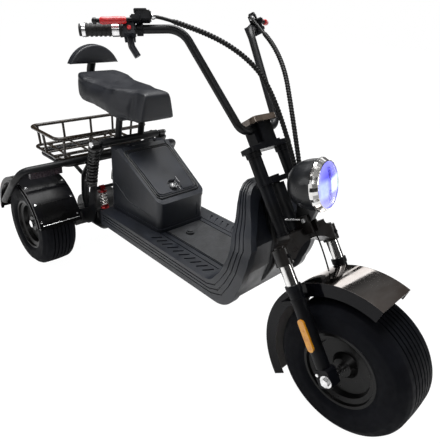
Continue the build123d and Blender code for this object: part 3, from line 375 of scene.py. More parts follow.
FINISHES = {
    "frame_black": dict(
        base=grey(0.003), alt=grey(0.006, (0.9, 1, 1.25)), rough=(0.34, 0.48),
        scale=12, grain=500, grain_strength=0.05, specular=0.2),
    "basket_black": dict(
        base=(0.006, 0.004, 0.003), alt=(0.022, 0.015, 0.008), rough=(0.20, 0.34),
        scale=10, grain=500, grain_strength=0.05, coat=0.3, specular=0.4),
    "fork_black": dict(
        base=grey(0.002), alt=grey(0.004, (0.9, 1, 1.4)), rough=(0.30, 0.46),
        scale=14, grain=500, grain_strength=0.06, specular=0.12),
    "moulded_black": dict(
        base=grey(0.0065, (0.85, 1, 1.35)), alt=grey(0.0125, (0.85, 1, 1.4)), rough=(0.30, 0.44),
        scale=7, grain=900, grain_strength=0.22, specular=0.34, dust=0.06),
    "deck_plate": dict(
        base=grey(0.010, (0.95, 1, 1.1)), alt=grey(0.026, (0.95, 1, 1.1)), rough=(0.34, 0.58),
        scale=22, grain=260, grain_strength=0.25, specular=0.35, dust=0.4, streak=(1, 6, 1)),
    "fender_black": dict(
        base=grey(0.002), alt=grey(0.004, (1, 1, 1.3)), rough=(0.16, 0.26),
        scale=6, grain=700, grain_strength=0.02, specular=0.09),
    "rim_black": dict(
        base=grey(0.0015), alt=grey(0.003), rough=(0.26, 0.38),
        scale=16, grain=600, grain_strength=0.04, coat=0.05, specular=0.15),
    "lamp_black": dict(
        base=grey(0.004), alt=grey(0.008, (0.9, 1, 1.2)), rough=(0.26, 0.38),
        scale=10, grain=600, grain_strength=0.04, coat=0.1, specular=0.25),
    "crown_gloss": dict(
        base=(0.003, 0.0028, 0.0028), alt=(0.010, 0.008, 0.007), rough=(0.26, 0.40),
        scale=9, grain=600, grain_strength=0.05, coat=0.1, specular=0.3),
    "spring_black": dict(
        base=grey(0.008), alt=grey(0.016), rough=(0.25, 0.40),
        scale=30, grain=500, grain_strength=0.08, coat=0.2, specular=0.35),
    "motor_housing": dict(
        base=grey(0.012), alt=grey(0.024), rough=(0.40, 0.60),
        scale=20, grain=240, grain_strength=0.35, metallic=0.2, specular=0.35, dust=0.25),
    "hose_black": dict(
        base=grey(0.0025), alt=grey(0.005), rough=(0.42, 0.56),
        scale=30, grain=700, grain_strength=0.10, specular=0.15),
    "grip_rubber": dict(
        base=grey(0.005), alt=grey(0.010), rough=(0.50, 0.66),
        scale=30, grain=600, grain_strength=0.25, specular=0.25),
    "strip_purple": dict(
        base=(0.010, 0.008, 0.012), alt=(0.040, 0.028, 0.034), rough=(0.22, 0.34),
        scale=40, grain=300, grain_strength=0.1, metallic=0.3, streak=(1, 8, 1)),
    "chrome": dict(
        base=grey(0.50, (1, 0.97, 0.93)), alt=grey(0.68), rough=(0.10, 0.20),
        scale=30, grain=400, grain_strength=0.02, metallic=1.0),
    "amber": dict(
        base=(0.40, 0.15, 0.003), alt=(0.56, 0.25, 0.008), rough=(0.16, 0.28),
        scale=60, grain=500, grain_strength=0.3, coat=0.3),
    "red_plastic": dict(
        base=(0.42, 0.006, 0.008), alt=(0.30, 0.004, 0.006), rough=(0.28, 0.42),
        scale=40, grain=400, grain_strength=0.1),
    "display_glass": dict(
        base=(0.055, 0.044, 0.036), alt=(0.14, 0.11, 0.088), rough=(0.06, 0.14),
        scale=18, grain=500, grain_strength=0.03, metallic=0.35, coat=0.5),
}
M = {name: finish_of(name, **values) for name, values in FINISHES.items()}
M["fender_mirror"] = mirror_fender("fender_mirror")
M["shock_red"] = shock_finish("shock_red")
M["bright_steel"] = brushed("bright_steel", (0.55, 0.55, 0.56), (0.78, 0.78, 0.78), 0.16, (1, 1, 1))
M["disc_steel"] = brushed("disc_steel", (0.22, 0.22, 0.23), (0.42, 0.42, 0.43), 0.26, (8, 1, 1))
M["seat_leather"] = leather("seat_leather")
M["tyre"] = tyre_rubber("tyre")
M["lamp_glass"] = lens_material("lamp_glass")


SLOT_OF = {sub["node"]: sub["material_slot"] for sub in frame["record"]["subparts"]}


def use(obj, slot):
    obj.data.materials.clear()
    obj.data.materials.append(M[slot])


for name, slot in SLOT_OF.items():
    if slot in M:
        use(nodes[name], slot)


def smooth_by_angle(obj, angle):
    for poly in obj.data.polygons:
        poly.use_smooth = True
    bpy.context.view_layer.objects.active = obj
    for o in bpy.context.selected_objects:
        o.select_set(False)
    obj.select_set(True)
    bpy.ops.object.shade_smooth_by_angle(angle=radians(angle))
    obj.select_set(False)


def add_mesh(name, verts, faces, body, slot, auto):
    me = bpy.data.meshes.new(name)
    me.from_pydata([tuple(v) for v in verts], [], faces)
    me.validate()
    bm = bmesh.new()
    bm.from_mesh(me)
    bmesh.ops.recalc_face_normals(bm, faces=bm.faces)
    bm.to_mesh(me)
    bm.free()
    me.update()
    obj = bpy.data.objects.new(name, me)
    scene.collection.objects.link(obj)
    use(obj, slot)
    smooth_by_angle(obj, auto)
    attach(obj, body)
    return obj


# Skins of curved nodes, the same surface with rounded shading
def skin(name):
    body = nodes[name]["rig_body"]
    obj = bpy.data.objects.new(name + "_skin", nodes[name].data.copy())
    scene.collection.objects.link(obj)
    bm = bmesh.new()
    bm.from_mesh(obj.data)
    bmesh.ops.remove_doubles(bm, verts=bm.verts, dist=0.00001)
    bm.to_mesh(obj.data)
    bm.free()
    if "custom_normal" in obj.data.attributes:
        obj.data.attributes.remove(obj.data.attributes["custom_normal"])
    smooth_by_angle(obj, 28)
    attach(obj, body)
    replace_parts(obj, name)


for name in ("deck_shell", "stanchions", "front_fender", "rear_fenders"):
    skin(name)


# Tyres with ribbed tread and ringed side walls
def arc3(a, b, c, n):
    # n steps along the arc from a through b to c
    (ax, ay), (bx, by), (cx, cy) = a, b, c
    d = 2 * (ax * (by - cy) + bx * (cy - ay) + cx * (ay - by))
    aa, bb, cc = ax * ax + ay * ay, bx * bx + by * by, cx * cx + cy * cy
    ux = (aa * (by - cy) + bb * (cy - ay) + cc * (ay - by)) / d
    uy = (aa * (cx - bx) + bb * (ax - cx) + cc * (bx - ax)) / d
    r = sqrt((ax - ux) ** 2 + (ay - uy) ** 2)
    t0, t1, t2 = (atan2(q[1] - uy, q[0] - ux) for q in (a, b, c))
    while t1 - t0 > pi:
        t1 -= 2 * pi
    while t1 - t0 < -pi:
        t1 += 2 * pi
    while t2 - t1 > pi:
        t2 -= 2 * pi
    while t2 - t1 < -pi:
        t2 += 2 * pi
    turns = [t0 + (t2 - t0) * k / n for k in range(n + 1)]
    return [(ux + r * cos(t), uy + r * sin(t)) for t in turns]


def tyre_profile(radius, width, bead, grooves, groove_w, depth):
    # Points across the tyre (x, radius): raised rings on the walls and straight grooves in the tread
    h = width / 2
    shoulder = radius - 0.016
    wall = arc3((-h * 0.86, bead), (-h, (bead + shoulder) / 2 + 0.008), (-h * 0.86, shoulder), 12)
    side = arc3((-h * 0.86, shoulder), (-h * 0.76, radius - 0.006), (-h * 0.58, radius - 0.002), 6)
    lifts = {2: 0.0022, 3: 0.0022, 9: 0.0026, 10: 0.0026}
    half = [(x - lifts.get(i, 0.0), r) for i, (x, r) in enumerate(wall)]
    half += [(x, r - (0.0018 if i == 2 else 0)) for i, (x, r) in enumerate(side[1:])]

    def crown(x):
        return radius - 0.002 * (x / (h * 0.58)) ** 2

    tread = []
    step = h * 1.10 / grooves
    for k in range(grooves):
        c = (k - (grooves - 1) / 2) * step
        low, high = c - groove_w / 2, c + groove_w / 2
        floor = crown(c) - depth
        tread += [(low, crown(c)), (low + 0.0012, floor), (high - 0.0012, floor), (high, crown(c))]
    return half + tread + [(-x, r) for x, r in reversed(half)]


def make_tyre(name, radius, width, bead, centre, body, replaced, grooves, count):
    profile = tyre_profile(radius, width, bead, grooves, 0.0050, 0.0065)
    verts, faces = [], []
    n = len(profile)
    for j in range(count):
        a = 2 * pi * j / count
        verts += [(centre[0] + x, centre[1] + r * sin(a), centre[2] + r * cos(a)) for x, r in profile]
        here, beyond = j * n, (j + 1) % count * n
        faces += [(here + i, beyond + i, beyond + (i + 1) % n, here + (i + 1) % n) for i in range(n)]
    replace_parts(add_mesh(name, verts, faces, body, "tyre", 40), replaced)


make_tyre("front_tyre_tread", FRONT_R, 0.193, 0.124, place(0, -WHEELBASE, FRONT_R),
          "front_wheel", "front_tyre", 6, 240)
for side, name in ((-1, "right"), (1, "left")):
    make_tyre("rear_tyre_tread_" + name, REAR_R, 0.161, 0.116, place(side * REAR_X, 0, REAR_R),
              "rear_wheel_" + name, "rear_tyre_" + name, 5, 216)


# Soft goods: seat and backrest, puffed by a cloth run and then seamed
def swell(obj, pressure, cap):
    # A cloth run under pressure; no point moves further than the cap
    start = [v.co.copy() for v in obj.data.vertices]
    cloth = obj.modifiers.new("cloth", "CLOTH")
    s = cloth.settings
    s.quality = 6
    s.mass = 0.3
    s.tension_stiffness = 30
    s.compression_stiffness = 30
    s.shear_stiffness = 12
    s.bending_stiffness = 12.0
    s.use_pressure = True
    s.uniform_pressure_force = pressure
    s.effector_weights.gravity = 0
    cloth.point_cache.frame_start = 1
    cloth.point_cache.frame_end = 20
    for f in range(1, 21):
        scene.frame_set(f)
    done = bpy.data.meshes.new_from_object(obj.evaluated_get(bpy.context.evaluated_depsgraph_get()))
    moved = [v.co.copy() for v in done.vertices]
    obj.modifiers.remove(cloth)
    scene.frame_set(1)
    for v, a, b in zip(obj.data.vertices, start, moved):
        d = b - a
        v.co = a + (d if d.length < cap else d.normalized() * cap)
    bpy.data.meshes.remove(done)


def apply_modifier(obj, name, kind, **settings):
    modifier = obj.modifiers.new(name, kind)
    for key, value in settings.items():
        setattr(modifier, key, value)
    bpy.ops.object.modifier_apply(modifier=name)


def puffed(name, source, voxel, cap, pressure, form, seams):
    obj = bpy.data.objects.new(name, nodes[source].data.copy())
    scene.collection.objects.link(obj)
    obj.data.transform(nodes[source].matrix_world)
    bpy.context.view_layer.objects.active = obj
    apply_modifier(obj, "remesh", "REMESH", mode="VOXEL", voxel_size=voxel)
    me = obj.data
    for v in me.vertices:
        v.co = form(v.co)
    me.update()
    normals = [v.normal.copy() for v in me.vertices]
    for v, nrm in zip(me.vertices, normals):
        v.co -= nrm * voxel
    swell(obj, pressure, cap)
    apply_modifier(obj, "soften", "SMOOTH", factor=0.5, iterations=40)
    for v in obj.data.vertices:
        v.co += seams(v.co)
    apply_modifier(obj, "sub", "SUBSURF", levels=1, render_levels=1)
    for poly in obj.data.polygons:
        poly.use_smooth = True
    use(obj, "seat_leather")
    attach(obj, "chassis")
    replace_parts(obj, source)


def seat_form(p):
    # Narrower to the top, the back and the nose, with a dish for the rider
    y = p.y - Y_SHIFT
    rise = min(max((p.z - SEAT_LOW) / SEAT_T, 0), 1)
    back = min(max((y + 0.36) / 0.30, 0), 1)
    nose = min(max((-0.33 - y) / 0.12, 0), 1)
    dish = math.exp(-((y + 0.25) / 0.09) ** 2) * math.exp(-(p.x / 0.085) ** 2) * rise
    width = 1 - 0.08 * rise - 0.12 * back - nose * (0.10 + 0.18 * rise)
    return Vector((p.x * width, p.y, p.z - 0.010 * dish))


def back_form(p):
    # The pad keeps the solid's form
    return p


def seat_seams(p):
    # A vertical crease at each front corner, a seam along the top edge and slight ripples
    y = p.y - Y_SHIFT
    out = Vector((0, 0, 0))
    crease = math.exp(-((y + 0.432) / 0.007) ** 2)
    if abs(p.x) > 0.07:
        out.x -= math.copysign(0.0045 * crease, p.x)
    top = math.exp(-((p.z - 0.842 - 0.04 * max(0, (y + 0.35))) / 0.006) ** 2)
    if abs(p.x) > 0.09:
        out.x -= math.copysign(0.0018 * top, p.x)
    ripple = noise.noise(Vector((p.x * 16, y * 16, p.z * 16)))
    out.z += 0.0012 * ripple
    return out


def back_seams(p):
    ring = math.exp(-((p.y - Y_SHIFT + 0.030) / 0.004) ** 2)
    d = Vector((p.x, 0, p.z - BACKREST_Z))
    return -d.normalized() * 0.0018 * ring + Vector((0, 0.0008 * noise.noise(p * 22), 0))


puffed("seat_cover", "seat", 0.006, 0.009, 3.0, seat_form, seat_seams)
puffed("backrest_cover", "backrest_pad", 0.005, 0.008, 4.0, back_form, back_seams)


# Handlebar fittings, each placed by its distance along the bar
BAR_END = Vector((0.386, 0.200, 1.212))
BAR_BEND = Vector((0.150, 0.049, 1.128))
BAR_DIR = (BAR_BEND - BAR_END).normalized()
LEVER_AT = GRIP_L + 0.052


def bar_axes(side):
    d = Vector((side * BAR_DIR.x, BAR_DIR.y, BAR_DIR.z))
    x = Vector((0, 0, side)).cross(d).normalized()
    return x, d.cross(x) * side, d


def local_to_world(v):
    return Vector((v.x, 0, 0)) + FORK_BACK * v.y + FORK_UP * v.z


def bar_point(side, distance, forward=0.0, upward=0.0, inward=0.0):
    p = BAR_END + BAR_DIR * distance
    x, y, d = bar_axes(side)
    q = Vector((side * p.x, p.y, p.z)) + x * forward + y * upward + d * inward
    return FORK_ORIGIN + local_to_world(q)


def frame_of(direction):
    d = direction.normalized()
    a = Vector((0, 0, 1)) if abs(d.z) < 0.9 else Vector((1, 0, 0))
    u = a.cross(d).normalized()
    return u, d.cross(u), d


def lathe(name, start, direction, profile, body, slot, count=32, auto=35):
    # A turned piece: the profile gives (distance along the axis, radius) from one end to the other
    u, w, d = frame_of(direction)
    verts, faces = [], []
    n = len(profile)
    for j in range(count):
        a = 2 * pi * j / count
        for t, r in profile:
            verts.append(start + d * t + (u * cos(a) + w * sin(a)) * r)
    for j in range(count):
        for i in range(n - 1):
            a0, b0 = j * n + i, ((j + 1) % count) * n + i
            faces.append((a0, b0, b0 + 1, a0 + 1))
    verts.append(start + d * profile[0][0])
    verts.append(start + d * profile[-1][0])
    for j in range(count):
        b0 = ((j + 1) % count) * n
        faces.append((len(verts) - 2, b0, j * n))
        faces.append((len(verts) - 1, j * n + n - 1, b0 + n - 1))
    return add_mesh(name, verts, faces, body, slot, auto)


def bolt(name, at, direction, radius, height, body, slot="bright_steel"):
    # Hexagon head with a chamfer on a round washer
    u, w, d = frame_of(direction)
    verts, faces = [], []
    for t in (0, height * 0.22):
        for j in range(24):
            a = 2 * pi * j / 24
            verts.append(at + d * t + (u * cos(a) + w * sin(a)) * radius * 1.35)
    for j in range(24):
        faces.append((j, (j + 1) % 24, 24 + (j + 1) % 24, 24 + j))
    faces.append(tuple(range(24, 48)))
    base = len(verts)
    for t, k in ((height * 0.2, 1.0), (height * 0.86, 1.0), (height, 0.86)):
        for j in range(6):
            a = 2 * pi * j / 6
            verts.append(at + d * t + (u * cos(a) + w * sin(a)) * radius * k)
    for level in range(2):
        for j in range(6):
            b = base + level * 6
            faces.append((b + j, b + (j + 1) % 6, b + 6 + (j + 1) % 6, b + 6 + j))
    faces.append(tuple(range(base + 12, base + 18)))
    add_mesh(name, verts, faces, body, slot, 25)


def collar(low, high, length, chamfer):
    # Profile of a ring that stands up from the grip
    foot, top = GRIP_R + low, GRIP_R + high
    return [(0, foot), (chamfer, top), (length - chamfer, top), (length, foot)]


# Profiles of the lever sleeve, its knob, the hose banjo and the horn button (distance, radius)
SLEEVE = [(0, 0.0072), (0.004, 0.0098), (0.026, 0.0108), (0.052, 0.0098), (0.068, 0.0102), (0.074, 0.0072)]
KNOB = [(0, 0.0060), (0.002, 0.0086), (0.006, 0.0094), (0.011, 0.0080), (0.014, 0.003)]
BANJO = [(0, 0.0065), (0.002, 0.0090), (0.008, 0.0095), (0.012, 0.0080), (0.013, 0.002)]
BUTTON = [(0, 0.0062), (0.003, 0.0066), (0.005, 0.0052), (0.006, 0.001)]
for side, name in ((-1, "right"), (1, "left")):
    x, _, d = bar_axes(side)
    along = local_to_world(d)
    lathe("grip_ring_" + name, bar_point(side, 0.004), along, collar(0.0002, 0.0026, 0.011, 0.0005),
          "steering", "bright_steel", 36)
    lathe("grip_band_" + name, bar_point(side, GRIP_L - 0.029), along, collar(0.0003, 0.0030, 0.022, 0.001),
          "steering", "bright_steel", 36)
    root = bar_point(side, LEVER_AT, 0.045, 0.006, -0.036)
    tip = bar_point(side, LEVER_AT, 0.045, 0.005, -0.118)
    lathe("lever_sleeve_" + name, root, tip - root, SLEEVE, "steering", "red_plastic", 24)
    lathe("lever_knob_" + name, tip, tip - root, KNOB, "steering", "lamp_black", 20)
    lathe("hose_banjo_" + name, bar_point(side, LEVER_AT, 0.015, 0.031, 0.0352), along, BANJO,
          "steering", "bright_steel", 20)
    lathe("horn_button_" + name, bar_point(side, GRIP_L + 0.022, 0.034, -0.010), local_to_world(x), BUTTON,
          "steering", "red_plastic" if side < 0 else "lamp_black", 18)


# Hoses in a spiral wrap, along the smooth line through the part's route, and other swept pieces
def smooth_line(name, points):
    curve = bpy.data.curves.new(name + "_line", "CURVE")
    curve.dimensions = "3D"
    spline = curve.splines.new("NURBS")
    spline.points.add(len(points) - 1)
    for q, p in zip(spline.points, points):
        q.co = (*p, 1)
    spline.order_u = 3
    spline.use_endpoint_u = True
    spline.resolution_u = 40
    holder = bpy.data.objects.new(name + "_line", curve)
    scene.collection.objects.link(holder)
    me = bpy.data.meshes.new_from_object(holder)
    line = [v.co.copy() for v in me.vertices]
    bpy.data.objects.remove(holder)
    bpy.data.meshes.remove(me)
    bpy.data.curves.remove(curve)
    return line


def resample(line, step):
    out = [line[0].copy()]
    carry = 0.0
    for a, b in zip(line, line[1:]):
        length = (b - a).length
        t = step - carry
        while t <= length:
            out.append(a.lerp(b, t / length))
            t += step
        carry = (carry + length) % step if length else carry
    return out


def wrapped_hose(name, points, radius, ridge, pitch, body, slot, bare=0.0, around=14, step=0.0016):
    # A tube along a route; with a ridge it is bare for a length and then carries a spiral wrap
    line = resample(smooth_line(name, points), step)
    verts, faces = [], []
    u = None
    for i, p in enumerate(line):
        d = (line[min(i + 1, len(line) - 1)] - line[max(i - 1, 0)]).normalized()
        if u is None:
            u = d.orthogonal().normalized()
        u = (u - d * u.dot(d)).normalized()
        w = d.cross(u)
        for j in range(around):
            a = 2 * pi * j / around
            phase = (i * step / pitch + j / around) % 1.0
            wrapped = min(max((i * step - bare) / 0.012, 0), 1) if ridge else 0
            r = radius + wrapped * (0.0012 + ridge * (0.5 + 0.5 * cos(2 * pi * phase)) ** 0.6)
            verts.append(p + (u * cos(a) + w * sin(a)) * r)
    n = len(line)
    for i in range(n - 1):
        for j in range(around):
            k = (j + 1) % around
            faces.append((i * around + j, i * around + k, (i + 1) * around + k, (i + 1) * around + j))
    faces.append(tuple(reversed(range(around))))
    faces.append(tuple(range((n - 1) * around, n * around)))
    return add_mesh(name, verts, faces, body, slot, 60)


def rounded_box(name, centre, axes, half, bevel, body, slot):
    u, w, d = (q.normalized() for q in axes)
    corners = [(a, b, c) for a in (-1, 1) for b in (-1, 1) for c in (-1, 1)]
    verts = [centre + u * a * half[0] + w * b * half[1] + d * c * half[2] for a, b, c in corners]
    faces = [(0, 1, 3, 2), (4, 6, 7, 5), (0, 4, 5, 1), (2, 3, 7, 6), (0, 2, 6, 4), (1, 5, 7, 3)]
    obj = add_mesh(name, verts, faces, body, slot, 35)
    bm = bmesh.new()
    bm.from_mesh(obj.data)
    bmesh.ops.bevel(bm, geom=list(bm.edges), offset=bevel, segments=3, affect="EDGES")
    bm.to_mesh(obj.data)
    bm.free()
    smooth_by_angle(obj, 35)
    return obj


# Brake lever perches, blades and master cylinders, each box by its middle and half sizes on the bar's axes
PERCH = [(0, 0.0135), (0.001, 0.0190), (0.019, 0.0190), (0.020, 0.0135)]
BLADE = [(0.034, 0.014, -0.012), (0.043, 0.008, -0.026), (0.045, 0.006, -0.060), (0.045, 0.005, -0.120)]
for side, name in ((-1, "right"), (1, "left")):
    axes = [local_to_world(q) for q in bar_axes(side)]
    master = rounded_box("lever_master_" + name, bar_point(side, LEVER_AT, 0.015, 0.0305, 0.0115), axes,
                         (0.014, 0.0155, 0.0235), 0.004, "steering", "fork_black")
    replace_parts(master, "brake_levers")
    lathe("lever_clamp_" + name, bar_point(side, GRIP_L + 0.042), axes[2], PERCH,
          "steering", "fork_black", 32)
    rounded_box("lever_pivot_" + name, bar_point(side, LEVER_AT, 0.032, 0.016, -0.010), axes,
                (0.013, 0.010, 0.016), 0.004, "steering", "fork_black")
    rounded_box("lever_reservoir_" + name, bar_point(side, LEVER_AT, 0.016, 0.047, 0.004), axes,
                (0.011, 0.004, 0.019), 0.002, "steering", "lamp_black")
    blade = [bar_point(side, LEVER_AT, *q) for q in BLADE]
    wrapped_hose("lever_blade_" + name, blade, 0.0060, 0, 1, "steering", "fork_black", around=16, step=0.004)

HOSES = {
    1: [(0.150, -0.040, 0.985), (0.060, -0.060, 0.768), (0.026, -0.040, 0.600)],
    -1: [(-0.070, -0.056, 1.018), (0, -0.084, 0.850), (0.008, -0.040, 0.600)],
}
for side, name, bare in ((-1, "right", 0.06), (1, "left", 0.11)):
    points = [bar_point(side, LEVER_AT, 0.015, 0.031, at) for at in (0.035, 0.065)]
    points += [fork(*q) for q in HOSES[side]]
    hose = wrapped_hose("brake_hose_" + name, points, 0.0050, 0.0020, 0.0098, "steering", "hose_black", bare)
    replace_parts(hose, "brake_hoses")
line_route = [fork(0.008, -0.022, 0.441), fork(0.008, -0.040, 0.410), fork(0.014, -0.022, 0.286)]
wrapped_hose("front_brake_line", line_route, 0.0025, 0, 1, "steering", "hose_black", around=10)


# Headlight bowl, faceted ring and lens
bowl = [(-0.012 - 0.096 * cos(radians(a)) ** 0.8, 0.0775 * sin(radians(a)) ** 0.72) for a in range(4, 91, 5)]
bowl += [(-0.009, 0.0785), (-0.009, 0.070)]
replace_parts(lathe("lamp_bowl", LAMP_AT, LAMP_OUT, bowl, "steering", "lamp_black", 48, 50), "headlight_shell")


def faceted_ring(name, profile, count, dent):
    # A ring of flat facets, every other one set in a little
    u, w, d = frame_of(LAMP_OUT)
    verts, faces = [], []
    n = len(profile)
    for j in range(count):
        a = 2 * pi * j / count
        for i, (t, r) in enumerate(profile):
            cut = dent if j % 2 and 0 < i < n - 2 else 0
            verts.append(LAMP_AT + d * t + (u * cos(a) + w * sin(a)) * (r - cut))
    for j in range(count):
        for i in range(n):
            a0, b0 = j * n, ((j + 1) % count) * n
            k = (i + 1) % n
            faces.append((a0 + i, b0 + i, b0 + k, a0 + k))
    return add_mesh(name, verts, faces, "steering", "chrome", 8)


ring = [(-0.0115, 0.0795), (-0.008, 0.0815), (0.000, 0.0812), (0.006, 0.0772), (0.0125, 0.0722)]
ring += [(0.0135, 0.0688), (-0.0115, 0.0688)]
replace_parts(faceted_ring("lamp_ring", ring, 44, 0.0022), "headlight_ring")
lens = [(0.004, 0.0684), (0.0105, 0.0684), (0.0125, 0.060), (0.0150, 0.045), (0.0170, 0.025), (0.0178, 0.006)]
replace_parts(lathe("lamp_lens", LAMP_AT, LAMP_OUT, lens, "steering", "lamp_glass", 64, 60), "headlight_lens")


# Bolts, nuts and trim lines; a fender trim by angle, material and radius, the box's fold by (y, z)
BOLT_ANGLES, BOLT_X = (25, 45, 68), (0.232, 0.398)
TRIM_X, TRIM_LIFT = (0.226, 0.28, 0.34, 0.402), 0.0006
FENDER_TRIM = {"lip": (21, "bright_steel", 0.0014), "crease": (44, "fender_black", 0.0022)}
FOLD = [(-0.372, 0.476), (-0.385, 0.470), (-0.421, 0.446), (-0.457, 0.422), (-0.493, 0.414)]
FOLD += [(-0.529, 0.412), (-0.570, 0.409), (-0.611, 0.405)]


def round_fender(side, x, angle, radius):
    # A place on the rear fender and the way out from its axis
    out = Vector((0, -cos(radians(angle)), sin(radians(angle))))
    return place(side * x, 0, FENDER_Z) + out * radius, out


def box_half(y):
    # The battery box's half width, which grows to the back
    return BOX_HALF_FRONT + (y - BOX_FRONT) / BOX_LENGTH * BOX_FLARE


for side, name in ((-1, "right"), (1, "left")):
    outward = Vector((side, 0, 0))
    bolt("front_axle_nut_" + name, fork(side * AXLE_NUT_X, 0, 0), outward, 0.0145, 0.0125, "steering")
    for k, angle in enumerate(BOLT_ANGLES):
        for x in BOLT_X:
            at, way = round_fender(side, x, angle, FENDER_SKIN_R)
            bolt("fender_bolt_%s_%d_%d" % (name, k, round(x * 1000)), at, way, 0.0036, 0.0032, "chassis")
    for label, (angle, slot, radius) in FENDER_TRIM.items():
        ends = [round_fender(side, x, angle, FENDER_SKIN_R + TRIM_LIFT)[0] for x in TRIM_X]
        wrapped_hose("fender_%s_%s" % (label, name), ends, radius, 0, 1, "chassis", slot, around=8, step=0.01)
    fold = [place(side * (box_half(y) + 0.0002), y, z) for y, z in FOLD]
    wrapped_hose("box_fold_" + name, fold, 0.0013, 0, 1, "chassis", "moulded_black", around=8, step=0.005)
    bolt("crown_bolt_" + name, fork(side * 0.124, -0.0155, 0.386), -FORK_BACK, 0.0052, 0.005,
         "steering", "fork_black")
    bolt("guard_bolt_" + name, fork(side * 0.1015, 0.040, 0.205), outward, 0.0048, 0.004,
         "steering", "fork_black")

# Lid: gasket beads, raised panel, lock and hanging key
LID_UP = Vector((0, -sin(LID_ANGLE), cos(LID_ANGLE)))
LID_SLOPE = Vector((0, cos(LID_ANGLE), sin(LID_ANGLE)))


def lid_point(x, t):
    # A place on the lid's top, across and up its slope
    return place(x, LID_LOW_Y, LID_LOW_Z) + LID_UP * LID_T + LID_SLOPE * t


def lid_outline(inset, corner, low, high, count=6):
    # A line inside the lid's edge, each corner rounded by short steps
    out = []
    for sx, t0, start in ((1, low, -90), (1, high, 0), (-1, high, 90), (-1, low, 180)):
        ct = t0 + corner if t0 == low else t0 - corner
        cx = sx * (box_half(LID_LOW_Y + ct * LID_RUN) + 0.0005 - inset - corner)
        for k in range(count + 1):
            a = radians(start + 90 * k / count)
            out.append(lid_point(cx + corner * cos(a), ct + corner * sin(a)))
    return out


def loop_bead(name, points, radius, slot):
    # A closed bead of small round section through the given points on the lid
    verts, faces = [], []
    n = len(points)
    for i, p in enumerate(points):
        d = (points[(i + 1) % n] - points[i - 1]).normalized()
        w = d.cross(LID_UP).normalized()
        for j in range(8):
            a = 2 * pi * j / 8
            verts.append(p + (LID_UP * cos(a) + w * sin(a)) * radius)
            here, beyond, k = i * 8, ((i + 1) % n) * 8, (j + 1) % 8
            faces.append((here + j, beyond + j, beyond + k, here + k))
    add_mesh(name, verts, faces, "box_lid", slot, 60)


def lid_panel(low, high, corner, thick):
    # The lid's raised panel, with an arched notch round the lock
    arch = 0.0285
    outline = lid_outline(0.0265, corner, low, high)
    notch = [lid_point(arch * cos(radians(a)), LOCK_D + arch * sin(radians(a))) for a in range(180, -1, -15)]
    outline += [lid_point(-arch, low)] + notch + [lid_point(arch, low)]
    n = len(outline)
    middle = sum(outline, Vector()) / n
    verts = outline + [q + LID_UP * thick * 0.7 for q in outline]
    verts += [q + LID_UP * thick + (middle - q).normalized() * 0.0015 for q in outline]
    faces = [(i, (i + 1) % n, n + (i + 1) % n, n + i) for i in range(n)]
    faces += [(n + i, n + (i + 1) % n, 2 * n + (i + 1) % n, 2 * n + i) for i in range(n)]
    faces += [tuple(range(2 * n, 3 * n)), tuple(reversed(range(n)))]
    add_mesh("lid_panel", verts, faces, "box_lid", "moulded_black", 30)


loop_bead("lid_border", lid_outline(0.0125, 0.018, 0.006, 0.270), 0.0034, "lamp_black")
loop_bead("lid_gasket", lid_outline(0.0215, 0.019, 0.0155, 0.262), 0.0026, "lamp_black")
lid_panel(0.022, 0.254, 0.018, 0.0034)
RECESS_R = 0.0262
turns = [radians(a) for a in range(0, 360, 12)]
recess = [lid_point(RECESS_R * cos(a), LOCK_D + RECESS_R * sin(a)) for a in turns]
loop_bead("lock_recess_edge", recess, 0.0018, "lamp_black")
key = [lid_point(0.0025, LOCK_D) + LID_UP * 0.018, lid_point(0.006, LOCK_D - 0.012) + LID_UP * 0.016,
       lid_point(0.009, LOCK_D - 0.034) + LID_UP * 0.010]
wrapped_hose("hanging_key", key, 0.0015, 0, 1, "box_lid", "bright_steel", around=8, step=0.003)
bezel = [(0, 0.0125), (0.001, 0.0165), (0.004, 0.0165), (0.005, 0.0125)]
lathe("lock_bezel", lid_point(0, LOCK_D) - LID_UP * 0.004, LID_UP, bezel, "box_lid", "lamp_black", 32)


# Floor, backdrop and light
def seen_directly(nt, path):
    # Rays from the camera, also through glass
    return calc(nt, "MAXIMUM", path.outputs["Is Camera Ray"], path.outputs["Is Transmission Ray"])


def mix_shader(nt, share, under, cover):
    mix = node(nt, "ShaderNodeMixShader")
    nt.links.new(share, mix.inputs["Fac"])
    nt.links.new(under, mix.inputs[1])
    nt.links.new(cover, mix.inputs[2])
    return mix.outputs[0]


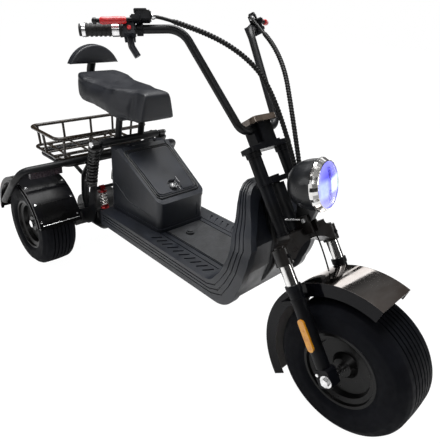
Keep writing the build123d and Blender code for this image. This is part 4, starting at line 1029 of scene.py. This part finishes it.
def paper_floor():
    floor = bpy.data.objects.new("floor", bpy.data.meshes.new("floor"))
    half = 14
    corners = [(-half, -half, 0), (half, -half, 0), (half, half, 0), (-half, half, 0)]
    floor.data.from_pydata(corners, [], [(0, 1, 2, 3)])
    scene.collection.objects.link(floor)
    m = bpy.data.materials.new("floor_paper")
    m.use_nodes = True
    nt = m.node_tree
    nt.nodes.clear()
    diffuse = node(nt, "ShaderNodeBsdfDiffuse")
    diffuse.inputs["Color"].default_value = (0.9, 0.9, 0.9, 1)
    paper = node(nt, "ShaderNodeEmission")
    paper.inputs["Color"].default_value = (1, 1, 1, 1)
    paper.inputs["Strength"].default_value = 1.06
    path = node(nt, "ShaderNodeLightPath")
    gloss = calc(nt, "MULTIPLY", path.outputs["Is Glossy Ray"], 0.25)
    share = calc(nt, "MULTIPLY", calc(nt, "MAXIMUM", seen_directly(nt, path), gloss), 0.93)
    out = node(nt, "ShaderNodeOutputMaterial")
    nt.links.new(mix_shader(nt, share, diffuse.outputs[0], paper.outputs[0]), out.inputs["Surface"])
    floor.data.materials.append(m)


def studio_world():
    # White to the camera, soft light on the piece and a darker, graded room in its reflections
    scene.world = bpy.data.worlds.new("studio")
    scene.world.use_nodes = True
    nt = scene.world.node_tree
    nt.nodes.clear()
    seen, gloss, light = (node(nt, "ShaderNodeBackground") for _ in range(3))
    seen.inputs["Strength"].default_value = 1.0
    seen.inputs["Color"].default_value = (1, 1, 1, 1)
    light.inputs["Color"].default_value = (1, 0.99, 0.98, 1)
    light.inputs["Strength"].default_value = 0.28
    tc = node(nt, "ShaderNodeTexCoord")
    height = split(nt, tc.outputs["Generated"])[2]
    tone = ramp(nt, height, [(0.0, grey(0.015)), (0.45, grey(0.05)), (0.95, grey(0.50))])
    nt.links.new(tone, gloss.inputs["Color"])
    path = node(nt, "ShaderNodeLightPath")
    room = mix_shader(nt, path.outputs["Is Glossy Ray"], light.outputs[0], gloss.outputs[0])
    out = node(nt, "ShaderNodeOutputWorld")
    nt.links.new(mix_shader(nt, seen_directly(nt, path), room, seen.outputs[0]), out.inputs["Surface"])


# Area lights: name, place, width and height, power
LIGHTS = [
    ("key", (-2.6, -2.4, 3.2), (1.6, 1.6), 24),
    ("side", (-3.2, 1.6, 1.8), (0.8, 2.2), 28),
    ("top", (0.2, 0.5, 3.6), (2.4, 2.4), 225),
    ("front_strip", (1.6, -3.4, 1.6), (0.5, 2.0), 24),
    ("rear_panel", (2.40, 0.75, 1.50), (2.6, 0.42), 7),
    ("rear_strip", (2.40, 0.95, 1.08), (2.6, 0.10), 1.5),
]
LIGHT_TARGET = Vector((0, 0, 0.5))
paper_floor()
studio_world()
for name, at, size, power in LIGHTS:
    data = bpy.data.lights.new(name, "AREA")
    data.shape = "RECTANGLE"
    data.size, data.size_y = size
    data.energy = power
    lamp = bpy.data.objects.new(name, data)
    scene.collection.objects.link(lamp)
    lamp.location = at
    lamp.rotation_mode = "QUATERNION"
    lamp.rotation_quaternion = (LIGHT_TARGET - Vector(at)).to_track_quat("-Z", "Y")
